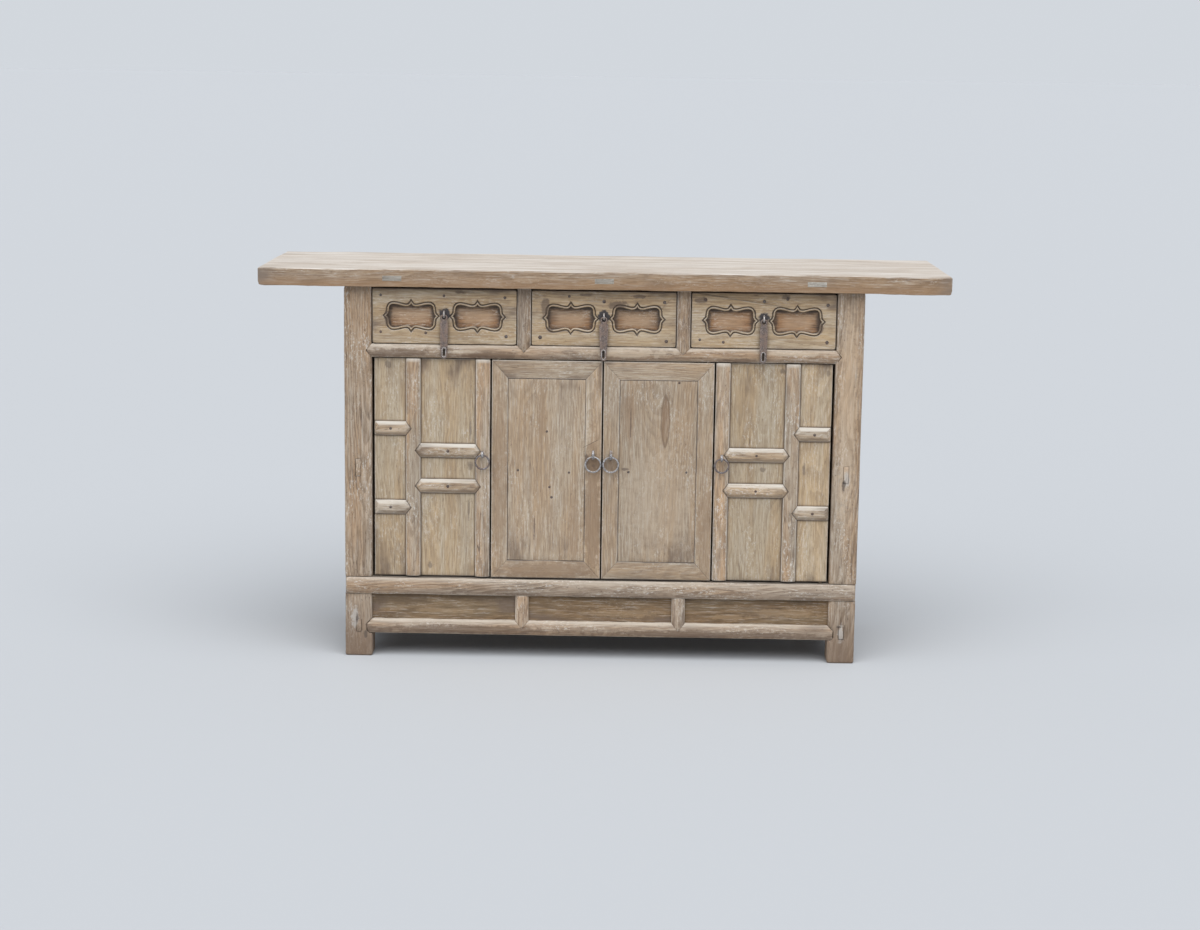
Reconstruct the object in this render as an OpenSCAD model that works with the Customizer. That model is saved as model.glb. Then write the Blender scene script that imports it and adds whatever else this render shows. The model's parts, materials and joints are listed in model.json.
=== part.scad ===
// Storage cabinet: a long plank top on four legs, three drawers with hasps over four pivoting doors.
// Millimetres. X runs to the right, Y to the back and Z up.
// The origin is on the floor, under the middle of the top.

/* [Overall] */
// Height from the floor to the top face
height = 880; // [850:1:930]
// Width over the outer faces of the legs
body_w = 1152; // [1120:1:1240]
// Depth over the front and back faces of the legs
body_d = 395; // [370:1:430]

/* [Top] */
// Thickness of the top board
top_t = 40; // [32:1:48]
// Overhang of the top past the legs at each end
end_overhang = 186.5; // [120:0.5:220]
// Overhang of the top past the legs at the front and back
face_overhang = 22.5; // [20:0.5:40]
// Length of a repair patch let into the front edge
patch_w = 42; // [20:1:60]
// Height of a repair patch
patch_h = 11; // [6:1:16]
// Depth of a repair patch
patch_d = 5; // [3:0.5:8]
// Distance of the outer patches from the middle
patch_x = 467; // [300:1:600]

/* [Legs] */
// Width of a leg, side to side
leg_w = 61; // [56:1:70]
// Depth of a leg, front to back
leg_d = 60; // [52:1:68]
// Rounding of a leg's edges
leg_round = 5; // [2:0.5:8]
// Side of the square tenon that holds the top
top_tenon = 30; // [20:1:36]
// Length of the tenon that holds the top
top_tenon_l = 18; // [10:1:24]

/* [Front frame] */
// Height of the front stretcher's underside above the floor
stretcher_z = 53; // [46:1:80]
// Height of the stretchers
stretcher_h = 34; // [28:1:40]
// Height of the gap that the apron panels close
apron_h = 58; // [44:1:76]
// Height of the bottom rails
bottom_rail_h = 38; // [32:1:44]
// How far the front bottom rail stands in front of the legs
bottom_rail_proud = 6; // [4:0.5:10]
// How far the front bottom rail stops short of the legs' outer faces
bottom_rail_short = 2.5; // [1:0.5:8]
// Height of the drawer rail
drawer_rail_h = 30; // [26:1:36]
// Height of the drawer openings
drawer_open_h = 127.5; // [116:0.5:150]
// Depth of the rails behind the legs' faces
rail_d = 36; // [32:1:44]
// How far the crowned rails stand in front of the legs
rail_proud = 1.5; // [0.5:0.5:3]
// Crown of the front rails, posts and stiles
crown = 4.5; // [2:0.5:6]
// Width of the posts between the drawers and of the struts under them
post_w = 30; // [26:1:36]
// Depth of the lapped points behind the legs' faces
lap_d = 8; // [6:0.5:10]
// Length of a rail's point over a leg
rail_point = 12; // [8:0.5:15]
// Length of a drawer post's point
post_point = 13.5; // [10:0.5:16]
// Length of a strut's point
strut_point = 18; // [12:0.5:20]
// Thickness of the apron panels
apron_t = 12; // [8:1:14]
// Depth of the apron panels behind the legs' faces
apron_in = 10; // [9:0.5:16]
// Height of the hidden rail behind the posts' upper ends
front_top_rail_h = 22; // [16:1:24]

/* [Joinery] */
// Width of a rail's tenon
tenon_w = 11; // [8:0.5:14]
// Length of a front rail's tenon inside the leg
tenon_l = 18; // [12:1:20]
// Height by which a tenon is less than its rail
tenon_less = 6; // [4:1:10]
// Depth of the grooves that hold the panels
groove = 6; // [4:0.5:8]
// Gap between separate boards of one panel
board_gap = 0.3; // [0.2:0.1:0.8]

/* [Sides and back] */
// Thickness of the side rails
side_rail_t = 44; // [36:1:50]
// Height of the middle rails, which carry the shelf
mid_rail_h = 44; // [38:1:50]
// Height of the top rails
top_rail_h = 35; // [28:1:42]
// Thickness of the back rails
back_rail_t = 32; // [28:1:36]
// Thickness of the side panels
side_panel_t = 12; // [8:1:14]
// Depth of the side panels behind the side rails' faces
side_panel_in = 8; // [5:1:12]
// Thickness of the back boards
back_board_t = 10; // [8:1:12]
// Boards across the back in each tier
back_board_count = 4; // [3:1:5]
// Thickness of the cupboard floor
floor_t = 12; // [10:1:14]
// Ledge of the bottom rails under the floor
floor_ledge = 8; // [6:0.5:12]
// Thickness of the shelf
shelf_t = 12; // [10:1:16]
// Distance of the shelf's front edge behind the legs' faces
shelf_in = 66; // [64:1:90]

/* [Drawers] */
// Gap beside a drawer front
drawer_side_gap = 1.6; // [1:0.1:2.5]
// Gap under a drawer front
drawer_under_gap = 1.1; // [0.8:0.1:2]
// Gap over a drawer front
drawer_over_gap = 3.5; // [2:0.1:5]
// Distance of the drawer fronts behind the legs' faces
front_in = 2; // [1:0.5:3]
// Thickness of a pierced drawer front
front_t = 12; // [10:0.5:14]
// Thickness of the board behind a drawer front
backing_t = 8; // [6:0.5:10]
// How far the backing board stops inside the front's outline
backing_inset = 4; // [3:0.5:8]
// Gap between a drawer's box and the back rails
drawer_back_gap = 11; // [6:1:40]
// Thickness of a drawer's sides
drawer_side_t = 12; // [9:0.5:14]
// Height of a drawer's sides
drawer_side_h = 96; // [70:1:98]
// Thickness of a drawer's bottom
drawer_bottom_t = 7; // [5:0.5:9]
// Height of a drawer's bottom above the runners
drawer_bottom_z = 6; // [4:0.5:10]
// Gap between a drawer's sides and its runners
runner_gap = 0.4; // [0.3:0.1:1]
// Width of a runner under a drawer's side
runner_w = 24; // [18:1:28]
// Height of a runner
runner_h = 18; // [14:1:24]
// Height of a guide above its runner
guide_h = 26; // [18:1:34]

/* [Cartouches] */
// Width of a cartouche opening, point to point
cart_w = 110; // [90:1:116]
// Height of a cartouche opening, point to point
cart_h = 54; // [44:1:60]
// Distance of a cartouche from the drawer's middle
cart_x = 73.5; // [72:0.5:80]
// How far an ear of the outline lies inside the side point
ear_in = 5.5; // [4:0.5:8]
// How far an ear of the outline lies below the upper point
ear_drop = 0.8; // [0.4:0.1:3]
// Width of the bead round the opening
bead_w = 3.5; // [3:0.5:4]
// Width of the groove outside the bead
bead_groove_w = 2.5; // [1.5:0.5:2.5]
// Depth of the groove outside the bead
bead_groove_d = 2; // [1:0.5:4]

/* [Doors] */
// Gap over the doors
door_over_gap = 2.5; // [1.5:0.5:4]
// Gap under the doors
door_under_gap = 3; // [1.5:0.5:4]
// Distance of the doors' faces behind the legs' faces
door_in = 2; // [1:0.5:4]
// Gap between an outer door and the leg
leg_gap = 5.5; // [5:0.5:8]
// Gap between an outer door and a centre door
door_gap = 4; // [3.5:0.5:6]
// Gap between the two centre doors
centre_gap = 3.6; // [3:0.2:6]
// Width of an outer door
outer_door_w = 258.5; // [240:0.5:270]
// Diameter of the wooden pivots
pivot_dia = 9; // [7:0.5:11]
// Length of a pivot inside its rail
pivot_l = 9; // [7:0.5:12]
// Gap at the end of a pivot
pivot_end_gap = 0.5; // [0.3:0.1:1]
// Running clearance round a pivot
pivot_clear = 0.08; // [0.05:0.01:0.1]

/* [Outer doors] */
// Depth of the boards behind the stiles' faces
board_in = 8.5; // [7:0.5:9]
// Thickness of the boards
board_t = 12; // [10:0.5:14]
// Width of the stiles
stile_w = 32; // [28:1:36]
// Width of the outer board, from the door's edge to the middle stile
outer_board_w = 71; // [60:1:80]
// Width of the batten behind the outer board's edge
batten_w = 30; // [24:1:36]
// Thickness of the batten and the ledges behind the boards
ledge_t = 15; // [12:1:18]
// Height of the ledges
ledge_h = 40; // [30:1:50]
// Distance of the ledges from the door's ends
ledge_in = 20; // [10:1:40]
// Height of the bars
bar_h = 31; // [26:1:34]
// Distance of the long bars above and below the door's middle
long_bar_off = 40.3; // [36:0.1:44]
// Distance of the short bars above and below the door's middle
short_bar_off = 89.5; // [80:0.5:110]
// Length of a bar's point over a stile
bar_point = 12; // [9:0.5:13]
// Distance of a short bar's outer end from the door's edge
bar_end_in = 1.5; // [1:0.5:3]
// Length of the bevel at a short bar's outer end
bar_bevel = 8; // [7:0.5:12]
// Distance of the pivot from the outer door's edge
outer_pivot_in = 13; // [12:0.5:15]
// Depth of the pivot behind the boards' faces
outer_pivot_back = 6; // [6:0.5:7]

/* [Centre doors] */
// Width of the frame's stiles
frame_stile_w = 36; // [32:1:42]
// Height of the frame's rails
frame_rail_h = 40.5; // [34:0.5:46]
// Thickness of the frame
frame_t = 24; // [22:1:28]
// Depth of the mitred face of the frame
mitre_d = 4; // [2:0.5:4]
// Depth of the panel behind the frame's face
panel_in = 0.8; // [0.4:0.1:3]
// Thickness of the panel
panel_t = 14; // [12:1:16]
// Thickness of the panel's tongue
tongue_t = 6; // [5:0.5:8]
// Gap round the panel's face
panel_gap = 0.5; // [0.3:0.1:1]
// Distance of the pivot from the centre door's edge
centre_pivot_in = 14; // [12:0.5:18]
// Depth of the pivot behind the face
centre_pivot_back = 9; // [8:0.5:9.5]

/* [Rings and hasps] */
// Radius of an eye, to the middle of its wire
eye_r = 6.2; // [5.8:0.1:7]
// Radius of an eye's wire
eye_wire_r = 1.9; // [1.6:0.1:2]
// Height of the eyes above the doors' middle
eye_up = 35; // [30:0.5:45]
// Length of an eye's shank inside the wood
shank_l = 18; // [12:0.5:19]
// Clearance round a shank
shank_clear = 0.1; // [0.05:0.05:0.3]
// Gap between an eye and the face behind it
eye_off = 0.3; // [0.3:0.1:1]
// Gap between a wire and the eye that it hangs in
link_gap = 0.3; // [0.3:0.05:0.5]
// Radius of an outer door's ring, to the middle of its wire
outer_ring_r = 15.5; // [13:0.5:16.5]
// Radius of a centre door's ring, to the middle of its wire
centre_ring_r = 17; // [14:0.5:17]
// Radius of a ring's wire
ring_wire_r = 2; // [1.6:0.1:2.1]
// Height of a hasp's eye above the drawer front's middle
hasp_up = 6; // [2:0.5:20]
// Radius of a hasp's link, to the middle of its wire
link_r = 6; // [5.2:0.1:6.4]
// Thickness of a hasp
hasp_t = 2.2; // [1.6:0.1:3]
// Upper width of the outer hasps
hasp_w = 17; // [15:0.5:21]
// Lower width of the outer hasps
hasp_tip_w = 15.5; // [13:0.5:18]
// Upper width of the middle hasp
middle_hasp_w = 21; // [17:0.5:22]
// Lower width of the middle hasp
middle_hasp_tip_w = 14; // [13:0.5:18]
// Gap between a hasp's tip and the doors' upper edges
hasp_over_gap = 2; // [1:0.5:6]
// Width of a hasp's slot
slot_w = 7; // [5:0.5:8]
// Length of a hasp's slot
slot_l = 20; // [14:1:26]
// Metal below a hasp's slot
slot_foot = 4.5; // [3:0.5:8]

/* [Hidden] */

// Colours
FRAME_WOOD = [0.66, 0.56, 0.45];
TOP_WOOD = [0.76, 0.67, 0.56];
DRAWER_WOOD = [0.72, 0.60, 0.43];
DOOR_WOOD = [0.69, 0.60, 0.48];
RED_WOOD = [0.58, 0.42, 0.29];
INSIDE_WOOD = [0.55, 0.44, 0.33];
PATCH_GREY = [0.72, 0.70, 0.66];
DARK_IRON = [0.27, 0.23, 0.21];
GREY_IRON = [0.36, 0.35, 0.36];

// A cut reaches this far past the face it opens
cut = 1;
// Smoothness of the round sections
$fn = 96;

// Carcass levels and planes
top_z = height - top_t;
inner_x = body_w / 2 - leg_w;
leg_x = body_w / 2 - leg_w / 2;
face_y = -body_d / 2;
leg_y = body_d / 2 - leg_d / 2;
leg_inner_y = body_d / 2 - leg_d;
rail_back_y = face_y + rail_d;
lap_y = face_y + lap_d;
crest_y = face_y - rail_proud;
stretcher_top = stretcher_z + stretcher_h;
bottom_rail_z = stretcher_top + apron_h;
bottom_rail_top = bottom_rail_z + bottom_rail_h;
drawer_rail_top = top_z - drawer_open_h;
drawer_rail_z = drawer_rail_top - drawer_rail_h;
top_rail_z = top_z - top_rail_h;

// Drawer places
drawer_open_w = (2 * inner_x - 2 * post_w) / 3;
drawer_pitch = drawer_open_w + post_w;
post_x = drawer_pitch / 2;
front_y = face_y + front_in;
front_back_y = front_y + front_t;
backing_y = front_back_y + backing_t;
front_half_w = drawer_open_w / 2 - drawer_side_gap;
front_z0 = drawer_rail_top + drawer_under_gap;
front_z1 = top_z - drawer_over_gap;
front_mid_z = (front_z0 + front_z1) / 2;
side_z0 = drawer_rail_top + runner_gap;

// Door places
door_y = face_y + door_in;
door_z0 = bottom_rail_top + door_under_gap;
door_z1 = drawer_rail_z - door_over_gap;
door_mid_z = (door_z0 + door_z1) / 2;
outer_edge_x = inner_x - leg_gap;
outer_free_x = outer_edge_x - outer_door_w;
centre_edge_x = outer_free_x - door_gap;
centre_free_x = centre_gap / 2;
board_y = door_y + board_in;
board_back_y = board_y + board_t;
mid_stile_x1 = outer_edge_x - outer_board_w;
mid_stile_x0 = mid_stile_x1 - stile_w;
lock_stile_x1 = outer_free_x + stile_w;
outer_pivot = [outer_edge_x - outer_pivot_in, board_y + outer_pivot_back];
centre_pivot = [centre_edge_x - centre_pivot_in, door_y + centre_pivot_back];
pivot_r = pivot_dia / 2;

// Eyes stand in front of a face by this much, and their rings hang this far below their middle
eye_stand = eye_r + eye_wire_r + eye_off;
eye_z = door_mid_z + eye_up;
hang_drop = eye_r - eye_wire_r - ring_wire_r - link_gap;
outer_eye_x = (outer_free_x + lock_stile_x1) / 2;
centre_eye_x = centre_free_x + frame_stile_w / 2;
hasp_eye_z = front_mid_z + hasp_up;
hasp_z0 = door_z1 + hasp_over_gap;

// Side and back frame
side_stretcher_mid = stretcher_z + stretcher_h / 2;
bottom_rail_mid = bottom_rail_z + bottom_rail_h / 2;
side_face_x = leg_x + side_rail_t / 2;
side_inner_x = leg_x - side_rail_t / 2;
side_panel_x1 = side_face_x - side_panel_in;
side_panel_x0 = side_panel_x1 - side_panel_t;
back_rail_y0 = -rail_back_y;
back_rail_y1 = back_rail_y0 + back_rail_t;
back_board_y0 = (back_rail_y0 + back_rail_y1 - back_board_t) / 2;
mid_rail_z0 = door_mid_z - mid_rail_h / 2;
mid_rail_z1 = door_mid_z + mid_rail_h / 2;

// Handles of the cartouche's quarter outline, as shares of its half width and half height:
// the dip beside the upper point, the ear, the ear's corner, and the flank down to the side point
DIP = [0.13, 0.53];
EAR_START = 0.44;
EAR_END = 0.69;
EAR_TURN = 0.84;
CORNER_LOW = 0.78;
FLANK_TOP = 0.5;
FLANK_LOW = 0.26;
POINT_IN = [0.92, 0.13];
// How much closer together the outline's corners lie near the upper point
CROWDING = 1.4;
cart_a = cart_w / 2;
cart_b = cart_h / 2;
ear_a = cart_a - ear_in;
ear_b = cart_b - ear_drop;

// A box between two corners
module block(x0, x1, y0, y1, z0, z1) {
  translate([x0, y0, z0]) cube([x1 - x0, y1 - y0, z1 - z0]);
}

// An outline drawn in X and Z, made solid from y0 to y1
module plate(y0, y1) {
  translate([0, y1, 0]) rotate([90, 0, 0]) linear_extrude(y1 - y0) children();
}

// Section w wide about the middle and d deep, with its front face crowned
module crowned(w, d, rise) {
  r = (w * w / 4 + rise * rise) / (2 * rise);
  intersection() {
    translate([-w / 2, 0]) square([w, d]);
    union() {
      translate([0, r]) circle(r, $fn = 180);
      translate([-w / 2, r]) square([w, d]);
    }
  }
}

// Upright with its crest at y
module upright(x, y, z0, z1, w, d, rise) {
  translate([x, y, z0]) linear_extrude(z1 - z0) crowned(w, d, rise);
}

// Crossbar with its crest at y and its middle line at z
module crossbar(x0, x1, y, z, w, d, rise) {
  translate([x0, y, z]) rotate([0, 90, 0]) linear_extrude(x1 - x0) crowned(w, d, rise);
}

// Bar outline with a point of its own length at each end
module pointed(x0, x1, z0, z1, point0, point1) {
  mid = (z0 + z1) / 2;
  polygon([[x0, z0], [x1, z0], [x1 + point1, mid], [x1, z1], [x0, z1], [x0 - point0, mid]]);
}

// Downward point of an upright
module down_point(x, z, w, point) {
  polygon([[x - w / 2, z], [x, z - point], [x + w / 2, z]]);
}

// Rectangle with round corners, about the middle
module rounded(w, d, r) {
  square([w - 2 * r, d], center = true);
  square([w, d - 2 * r], center = true);
  for (sx = [-1, 1], sy = [-1, 1])
    translate([sx * (w / 2 - r), sy * (d / 2 - r)]) circle(r);
}

// Both sides of the cabinet
module both_sides() {
  children();
  mirror([1, 0, 0]) children();
}

// Top

// Tenon on a leg, started the given distance below the top board
module leg_tenon(sx, sy, down) {
  translate([sx * leg_x - top_tenon / 2, sy * leg_y - top_tenon / 2, top_z - down])
    cube([top_tenon, top_tenon, top_tenon_l + down]);
}

module patches(d) {
  y0 = face_y - face_overhang;
  z0 = top_z + (top_t - patch_h) / 2;
  for (x = [-patch_x, 0, patch_x])
    block(x - patch_w / 2, x + patch_w / 2, y0 - d, y0 + patch_d, z0, z0 + patch_h);
}

module top_board() color(TOP_WOOD) difference() {
  x = body_w / 2 + end_overhang;
  y = body_d / 2 + face_overhang;
  block(-x, x, -y, y, top_z, height);
  for (sx = [-1, 1], sy = [-1, 1]) leg_tenon(sx, sy, cut);
  patches(cut);
}

module edge_patches() color(PATCH_GREY) patches(0);

// Front frame

module rail_tenon(z, h) {
  y = face_y + lap_d + (rail_d - lap_d) / 2;
  block(-inner_x - tenon_l, inner_x + tenon_l, y - tenon_w / 2, y + tenon_w / 2,
    z + tenon_less / 2, z + h - tenon_less / 2);
}

module drawer_rail_ends(y0) {
  plate(y0, lap_y) pointed(-inner_x, inner_x, drawer_rail_z, drawer_rail_top, rail_point, rail_point);
}

module post_points(y0) {
  plate(y0, lap_y) for (x = [-post_x, post_x]) down_point(x, drawer_rail_top, post_w, post_point);
}

module pivot_bores() {
  both_sides() for (p = [outer_pivot, centre_pivot]) {
    translate([p[0], p[1], drawer_rail_z - cut]) cylinder(pivot_l + cut, r = pivot_r + pivot_clear);
    translate([p[0], p[1], bottom_rail_top - pivot_l]) cylinder(pivot_l + cut, r = pivot_r + pivot_clear);
  }
}

module drawer_rail() color(FRAME_WOOD) difference() {
  z = (drawer_rail_z + drawer_rail_top) / 2;
  union() {
    crossbar(-inner_x, inner_x, crest_y, z, drawer_rail_h, rail_back_y - crest_y, crown);
    intersection() {
      crossbar(-inner_x - rail_point, inner_x + rail_point, crest_y, z, drawer_rail_h,
        rail_back_y - crest_y, crown);
      drawer_rail_ends(crest_y);
    }
    rail_tenon(drawer_rail_z, drawer_rail_h);
  }
  post_points(crest_y - cut);
  pivot_bores();
}

module drawer_posts() color(FRAME_WOOD) {
  for (x = [-post_x, post_x])
    upright(x, crest_y, drawer_rail_top, top_z, post_w, rail_back_y - crest_y, crown);
  intersection() {
    for (x = [-post_x, post_x])
      upright(x, crest_y, drawer_rail_top - post_point, top_z, post_w, rail_back_y - crest_y, crown);
    post_points(crest_y);
  }
}

module front_top_rail() color(INSIDE_WOOD)
  block(-inner_x, inner_x, rail_back_y, -leg_inner_y, top_z - front_top_rail_h, top_z);

module bottom_rail_lap(y0, extra) {
  x = body_w / 2 - bottom_rail_short;
  block(-x - extra, x + extra, y0, lap_y, bottom_rail_z, bottom_rail_top);
}

module bottom_rail() color(FRAME_WOOD) difference() {
  y = face_y - bottom_rail_proud;
  x = body_w / 2 - bottom_rail_short;
  z = bottom_rail_mid;
  union() {
    crossbar(-inner_x, inner_x, y, z, bottom_rail_h, rail_back_y - y, crown);
    intersection() {
      crossbar(-x, x, y, z, bottom_rail_h, rail_back_y - y, crown);
      bottom_rail_lap(y, 0);
    }
    rail_tenon(bottom_rail_z, bottom_rail_h);
  }
  pivot_bores();
  apron_boards();
  floor_slab();
}

// The stretcher's end is bevelled above and cut back below
module stretcher_outline() {
  x = inner_x + rail_point;
  bevel = rail_point;
  foot = rail_point / 2;
  polygon([[-inner_x, stretcher_top], [inner_x, stretcher_top], [x, stretcher_top - bevel],
    [x, stretcher_z + foot], [x - foot, stretcher_z], [-x + foot, stretcher_z],
    [-x, stretcher_z + foot], [-x, stretcher_top - bevel]]);
}

module stretcher_ends(y0) {
  plate(y0, lap_y) stretcher_outline();
}

module strut_points(y0) {
  plate(y0, lap_y) for (x = [-post_x, post_x]) down_point(x, stretcher_top, post_w, strut_point);
}

module front_stretcher() color(FRAME_WOOD) difference() {
  z = side_stretcher_mid;
  union() {
    crossbar(-inner_x, inner_x, crest_y, z, stretcher_h, rail_back_y - crest_y, crown);
    intersection() {
      crossbar(-inner_x - rail_point, inner_x + rail_point, crest_y, z, stretcher_h,
        rail_back_y - crest_y, crown);
      stretcher_ends(crest_y);
    }
    rail_tenon(stretcher_z, stretcher_h);
  }
  strut_points(crest_y - cut);
  apron_boards();
}

module apron_struts() color(FRAME_WOOD) difference() {
  union() {
    for (x = [-post_x, post_x])
      upright(x, crest_y, stretcher_top, bottom_rail_z, post_w, rail_back_y - crest_y, crown);
    intersection() {
      for (x = [-post_x, post_x])
        upright(x, crest_y, stretcher_top - strut_point, bottom_rail_z, post_w,
          rail_back_y - crest_y, crown);
      strut_points(crest_y);
    }
  }
  apron_boards();
}

// Three boards, each held by grooves all round
module apron_boards() {
  y = face_y + apron_in;
  z0 = stretcher_top - groove;
  z1 = bottom_rail_z + groove;
  for (x = [-drawer_pitch, 0, drawer_pitch])
    block(x - drawer_open_w / 2 - groove, x + drawer_open_w / 2 + groove, y, y + apron_t, z0, z1);
}

module apron_panels() color(DOOR_WOOD) apron_boards();

// Side and back frame

module side_rail(z0, z1, tenon_y) {
  block(side_inner_x, side_face_x, -leg_inner_y, leg_inner_y, z0, z1);
  block(leg_x - tenon_w / 2, leg_x + tenon_w / 2, -tenon_y, tenon_y,
    z0 + tenon_less / 2, z1 - tenon_less / 2);
}

// The stretcher and middle rail are tenoned right through the legs, the others stop inside
module side_rail_set() {
  blind_y = leg_inner_y + tenon_l;
  both_sides() {
    side_rail(stretcher_z, stretcher_top, body_d / 2);
    side_rail(bottom_rail_z, bottom_rail_top, blind_y);
    side_rail(mid_rail_z0, mid_rail_z1, body_d / 2);
    side_rail(top_rail_z, top_z, blind_y);
  }
}

module side_panel_set() {
  y = leg_inner_y + groove;
  both_sides() {
    block(side_panel_x0, side_panel_x1, -y, y, bottom_rail_top - groove, mid_rail_z0 + groove);
    block(side_panel_x0, side_panel_x1, -y, y, mid_rail_z1 - groove, top_rail_z + groove);
  }
}

module side_rails() color(FRAME_WOOD) difference() {
  side_rail_set();
  side_panel_set();
}

module side_panels() color(DOOR_WOOD) side_panel_set();

module back_rail(z0, z1) {
  y = (back_rail_y0 + back_rail_y1) / 2;
  block(-inner_x, inner_x, back_rail_y0, back_rail_y1, z0, z1);
  block(-inner_x - tenon_l, inner_x + tenon_l, y - tenon_w / 2, y + tenon_w / 2,
    z0 + tenon_less / 2, z1 - tenon_less / 2);
}

module back_rail_set() {
  back_rail(stretcher_z, stretcher_top);
  back_rail(bottom_rail_z, bottom_rail_top);
  back_rail(mid_rail_z0, mid_rail_z1);
  back_rail(drawer_rail_z, drawer_rail_top);
  back_rail(top_rail_z, top_z);
}

// One tier of upright boards between two back rails
module board_tier(z0, z1) {
  x0 = -inner_x - groove;
  pitch = -2 * x0 / back_board_count;
  for (i = [0 : back_board_count - 1])
    block(x0 + i * pitch + (i > 0 ? board_gap : 0), x0 + (i + 1) * pitch,
      back_board_y0, back_board_y0 + back_board_t, z0 - groove, z1 + groove);
}

module back_board_set() {
  board_tier(bottom_rail_top, mid_rail_z0);
  board_tier(mid_rail_z1, drawer_rail_z);
  board_tier(drawer_rail_top, top_rail_z);
}

// Grooves for the back boards, one slot for each tier
module back_grooves() {
  x = inner_x + groove;
  for (t = [[bottom_rail_top, mid_rail_z0], [mid_rail_z1, drawer_rail_z], [drawer_rail_top, top_rail_z]])
    block(-x, x, back_board_y0, back_board_y0 + back_board_t, t[0] - groove, t[1] + groove);
}

module back_rails() color(INSIDE_WOOD) difference() {
  back_rail_set();
  back_grooves();
  floor_slab();
}

module back_boards() color(INSIDE_WOOD) back_board_set();

module leg_envelopes() {
  for (sx = [-1, 1], sy = [-1, 1])
    translate([sx * leg_x - leg_w / 2, sy * leg_y - leg_d / 2, 0]) cube([leg_w, leg_d, top_z]);
}

module floor_slab() {
  y = -rail_back_y + floor_ledge;
  difference() {
    block(-side_inner_x, side_inner_x, -y, y, bottom_rail_top - floor_t, bottom_rail_top);
    leg_envelopes();
  }
}

module cupboard_floor() color(INSIDE_WOOD) floor_slab();

// The shelf lies on the middle rails of the sides and the back
module shelf() color(INSIDE_WOOD) difference() {
  block(-side_panel_x0 + board_gap, side_panel_x0 - board_gap, face_y + shelf_in,
    back_board_y0 - board_gap, mid_rail_z1, mid_rail_z1 + shelf_t);
  leg_envelopes();
}

// Each runner is tenonless and butts the front and back rails; its guide keeps the drawers apart
module drawer_runners() color(INSIDE_WOOD) {
  z = drawer_rail_top;
  guide_z = z + guide_h;
  both_sides() {
    block(inner_x - runner_w, inner_x, rail_back_y, back_rail_y0, z - runner_h, z);
    block(inner_x, side_inner_x, -leg_inner_y, leg_inner_y, z - runner_h, guide_z);
    block(post_x - post_w / 2 - runner_w, post_x + post_w / 2 + runner_w, rail_back_y, back_rail_y0,
      z - runner_h, z);
    block(post_x - post_w / 2, post_x + post_w / 2, rail_back_y, back_rail_y0, z, guide_z);
  }
}

// Legs

module leg_block(sx, sy) {
  translate([sx * leg_x, sy * leg_y, 0]) linear_extrude(top_z) rounded(leg_w, leg_d, leg_round);
  leg_tenon(sx, sy, 0);
}

module front_leg(sx) color(FRAME_WOOD) difference() {
  leg_block(sx, -1);
  drawer_rail_ends(face_y - cut);
  bottom_rail_lap(face_y - cut, bottom_rail_short + cut);
  stretcher_ends(face_y - cut);
  for (r = [[drawer_rail_z, drawer_rail_h], [bottom_rail_z, bottom_rail_h], [stretcher_z, stretcher_h]])
    rail_tenon(r[0], r[1]);
  apron_boards();
  side_rail_set();
  side_panel_set();
}

module back_leg(sx) color(FRAME_WOOD) difference() {
  leg_block(sx, 1);
  side_rail_set();
  side_panel_set();
  back_rail_set();
  back_grooves();
}

// Drawers

// Point at t on a cubic curve with the four handles p
function curve(p, t) = pow(1 - t, 3) * p[0] + 3 * pow(1 - t, 2) * t * p[1]
  + 3 * (1 - t) * t * t * p[2] + pow(t, 3) * p[3];

// Quarter of the outline, from the upper point to just before the side point
function quarter() = let (
  top_side = [[0, cart_b], [DIP[0] * cart_a, DIP[1] * cart_b], [EAR_START * cart_a, ear_b],
    [EAR_END * cart_a, ear_b]],
  corner = [[EAR_END * cart_a, ear_b], [EAR_TURN * cart_a, ear_b], [ear_a, CORNER_LOW * cart_b],
    [ear_a, FLANK_TOP * cart_b]],
  flank = [[ear_a, FLANK_TOP * cart_b], [ear_a, FLANK_LOW * cart_b],
    [POINT_IN[0] * cart_a, POINT_IN[1] * cart_b], [cart_a, 0]])
  concat([for (i = [0 : 6]) curve(top_side, pow(i / 7, CROWDING))],
    [for (i = [0 : 4]) curve(corner, i / 5)],
    [for (i = [0 : 2]) curve(flank, i / 3)]);

// Whole outline, clockwise from the upper point
function outline() = let (q = quarter(), n = len(q) - 1) concat(
  q, [[cart_a, 0]], [for (i = [n : -1 : 1]) [q[i][0], -q[i][1]]],
  [[0, -cart_b]], [for (i = [1 : n]) [-q[i][0], -q[i][1]]],
  [[-cart_a, 0]], [for (i = [n : -1 : 1]) [-q[i][0], q[i][1]]]);

// Direction from one point to another
function heading(a, b) = (b - a) / norm(b - a);

// The outline moved outwards by d, with mitred points
function widened(p, d) = let (n = len(p)) [for (i = [0 : n - 1])
  let (t = heading(p[(i + n - 1) % n], p[i]) + heading(p[i], p[(i + 1) % n]))
    p[i] + 2 * d / (t * t) * [-t[1], t[0]]];

CART = outline();
CART_BEAD = widened(CART, bead_w);
CART_GROOVE = widened(CART, bead_w + bead_groove_w);

module drawer_front(x) color(DRAWER_WOOD) difference() {
  block(x - front_half_w, x + front_half_w, front_y, front_back_y, front_z0, front_z1);
  for (s = [-1, 1]) translate([x + s * cart_x, 0, front_mid_z]) {
    plate(front_y - cut, front_back_y + cut) polygon(CART);
    plate(front_y - cut, front_y + bead_groove_d) difference() {
      polygon(CART_GROOVE);
      polygon(CART_BEAD);
    }
  }
  eye_bore(x, front_y, hasp_eye_z);
}

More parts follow.
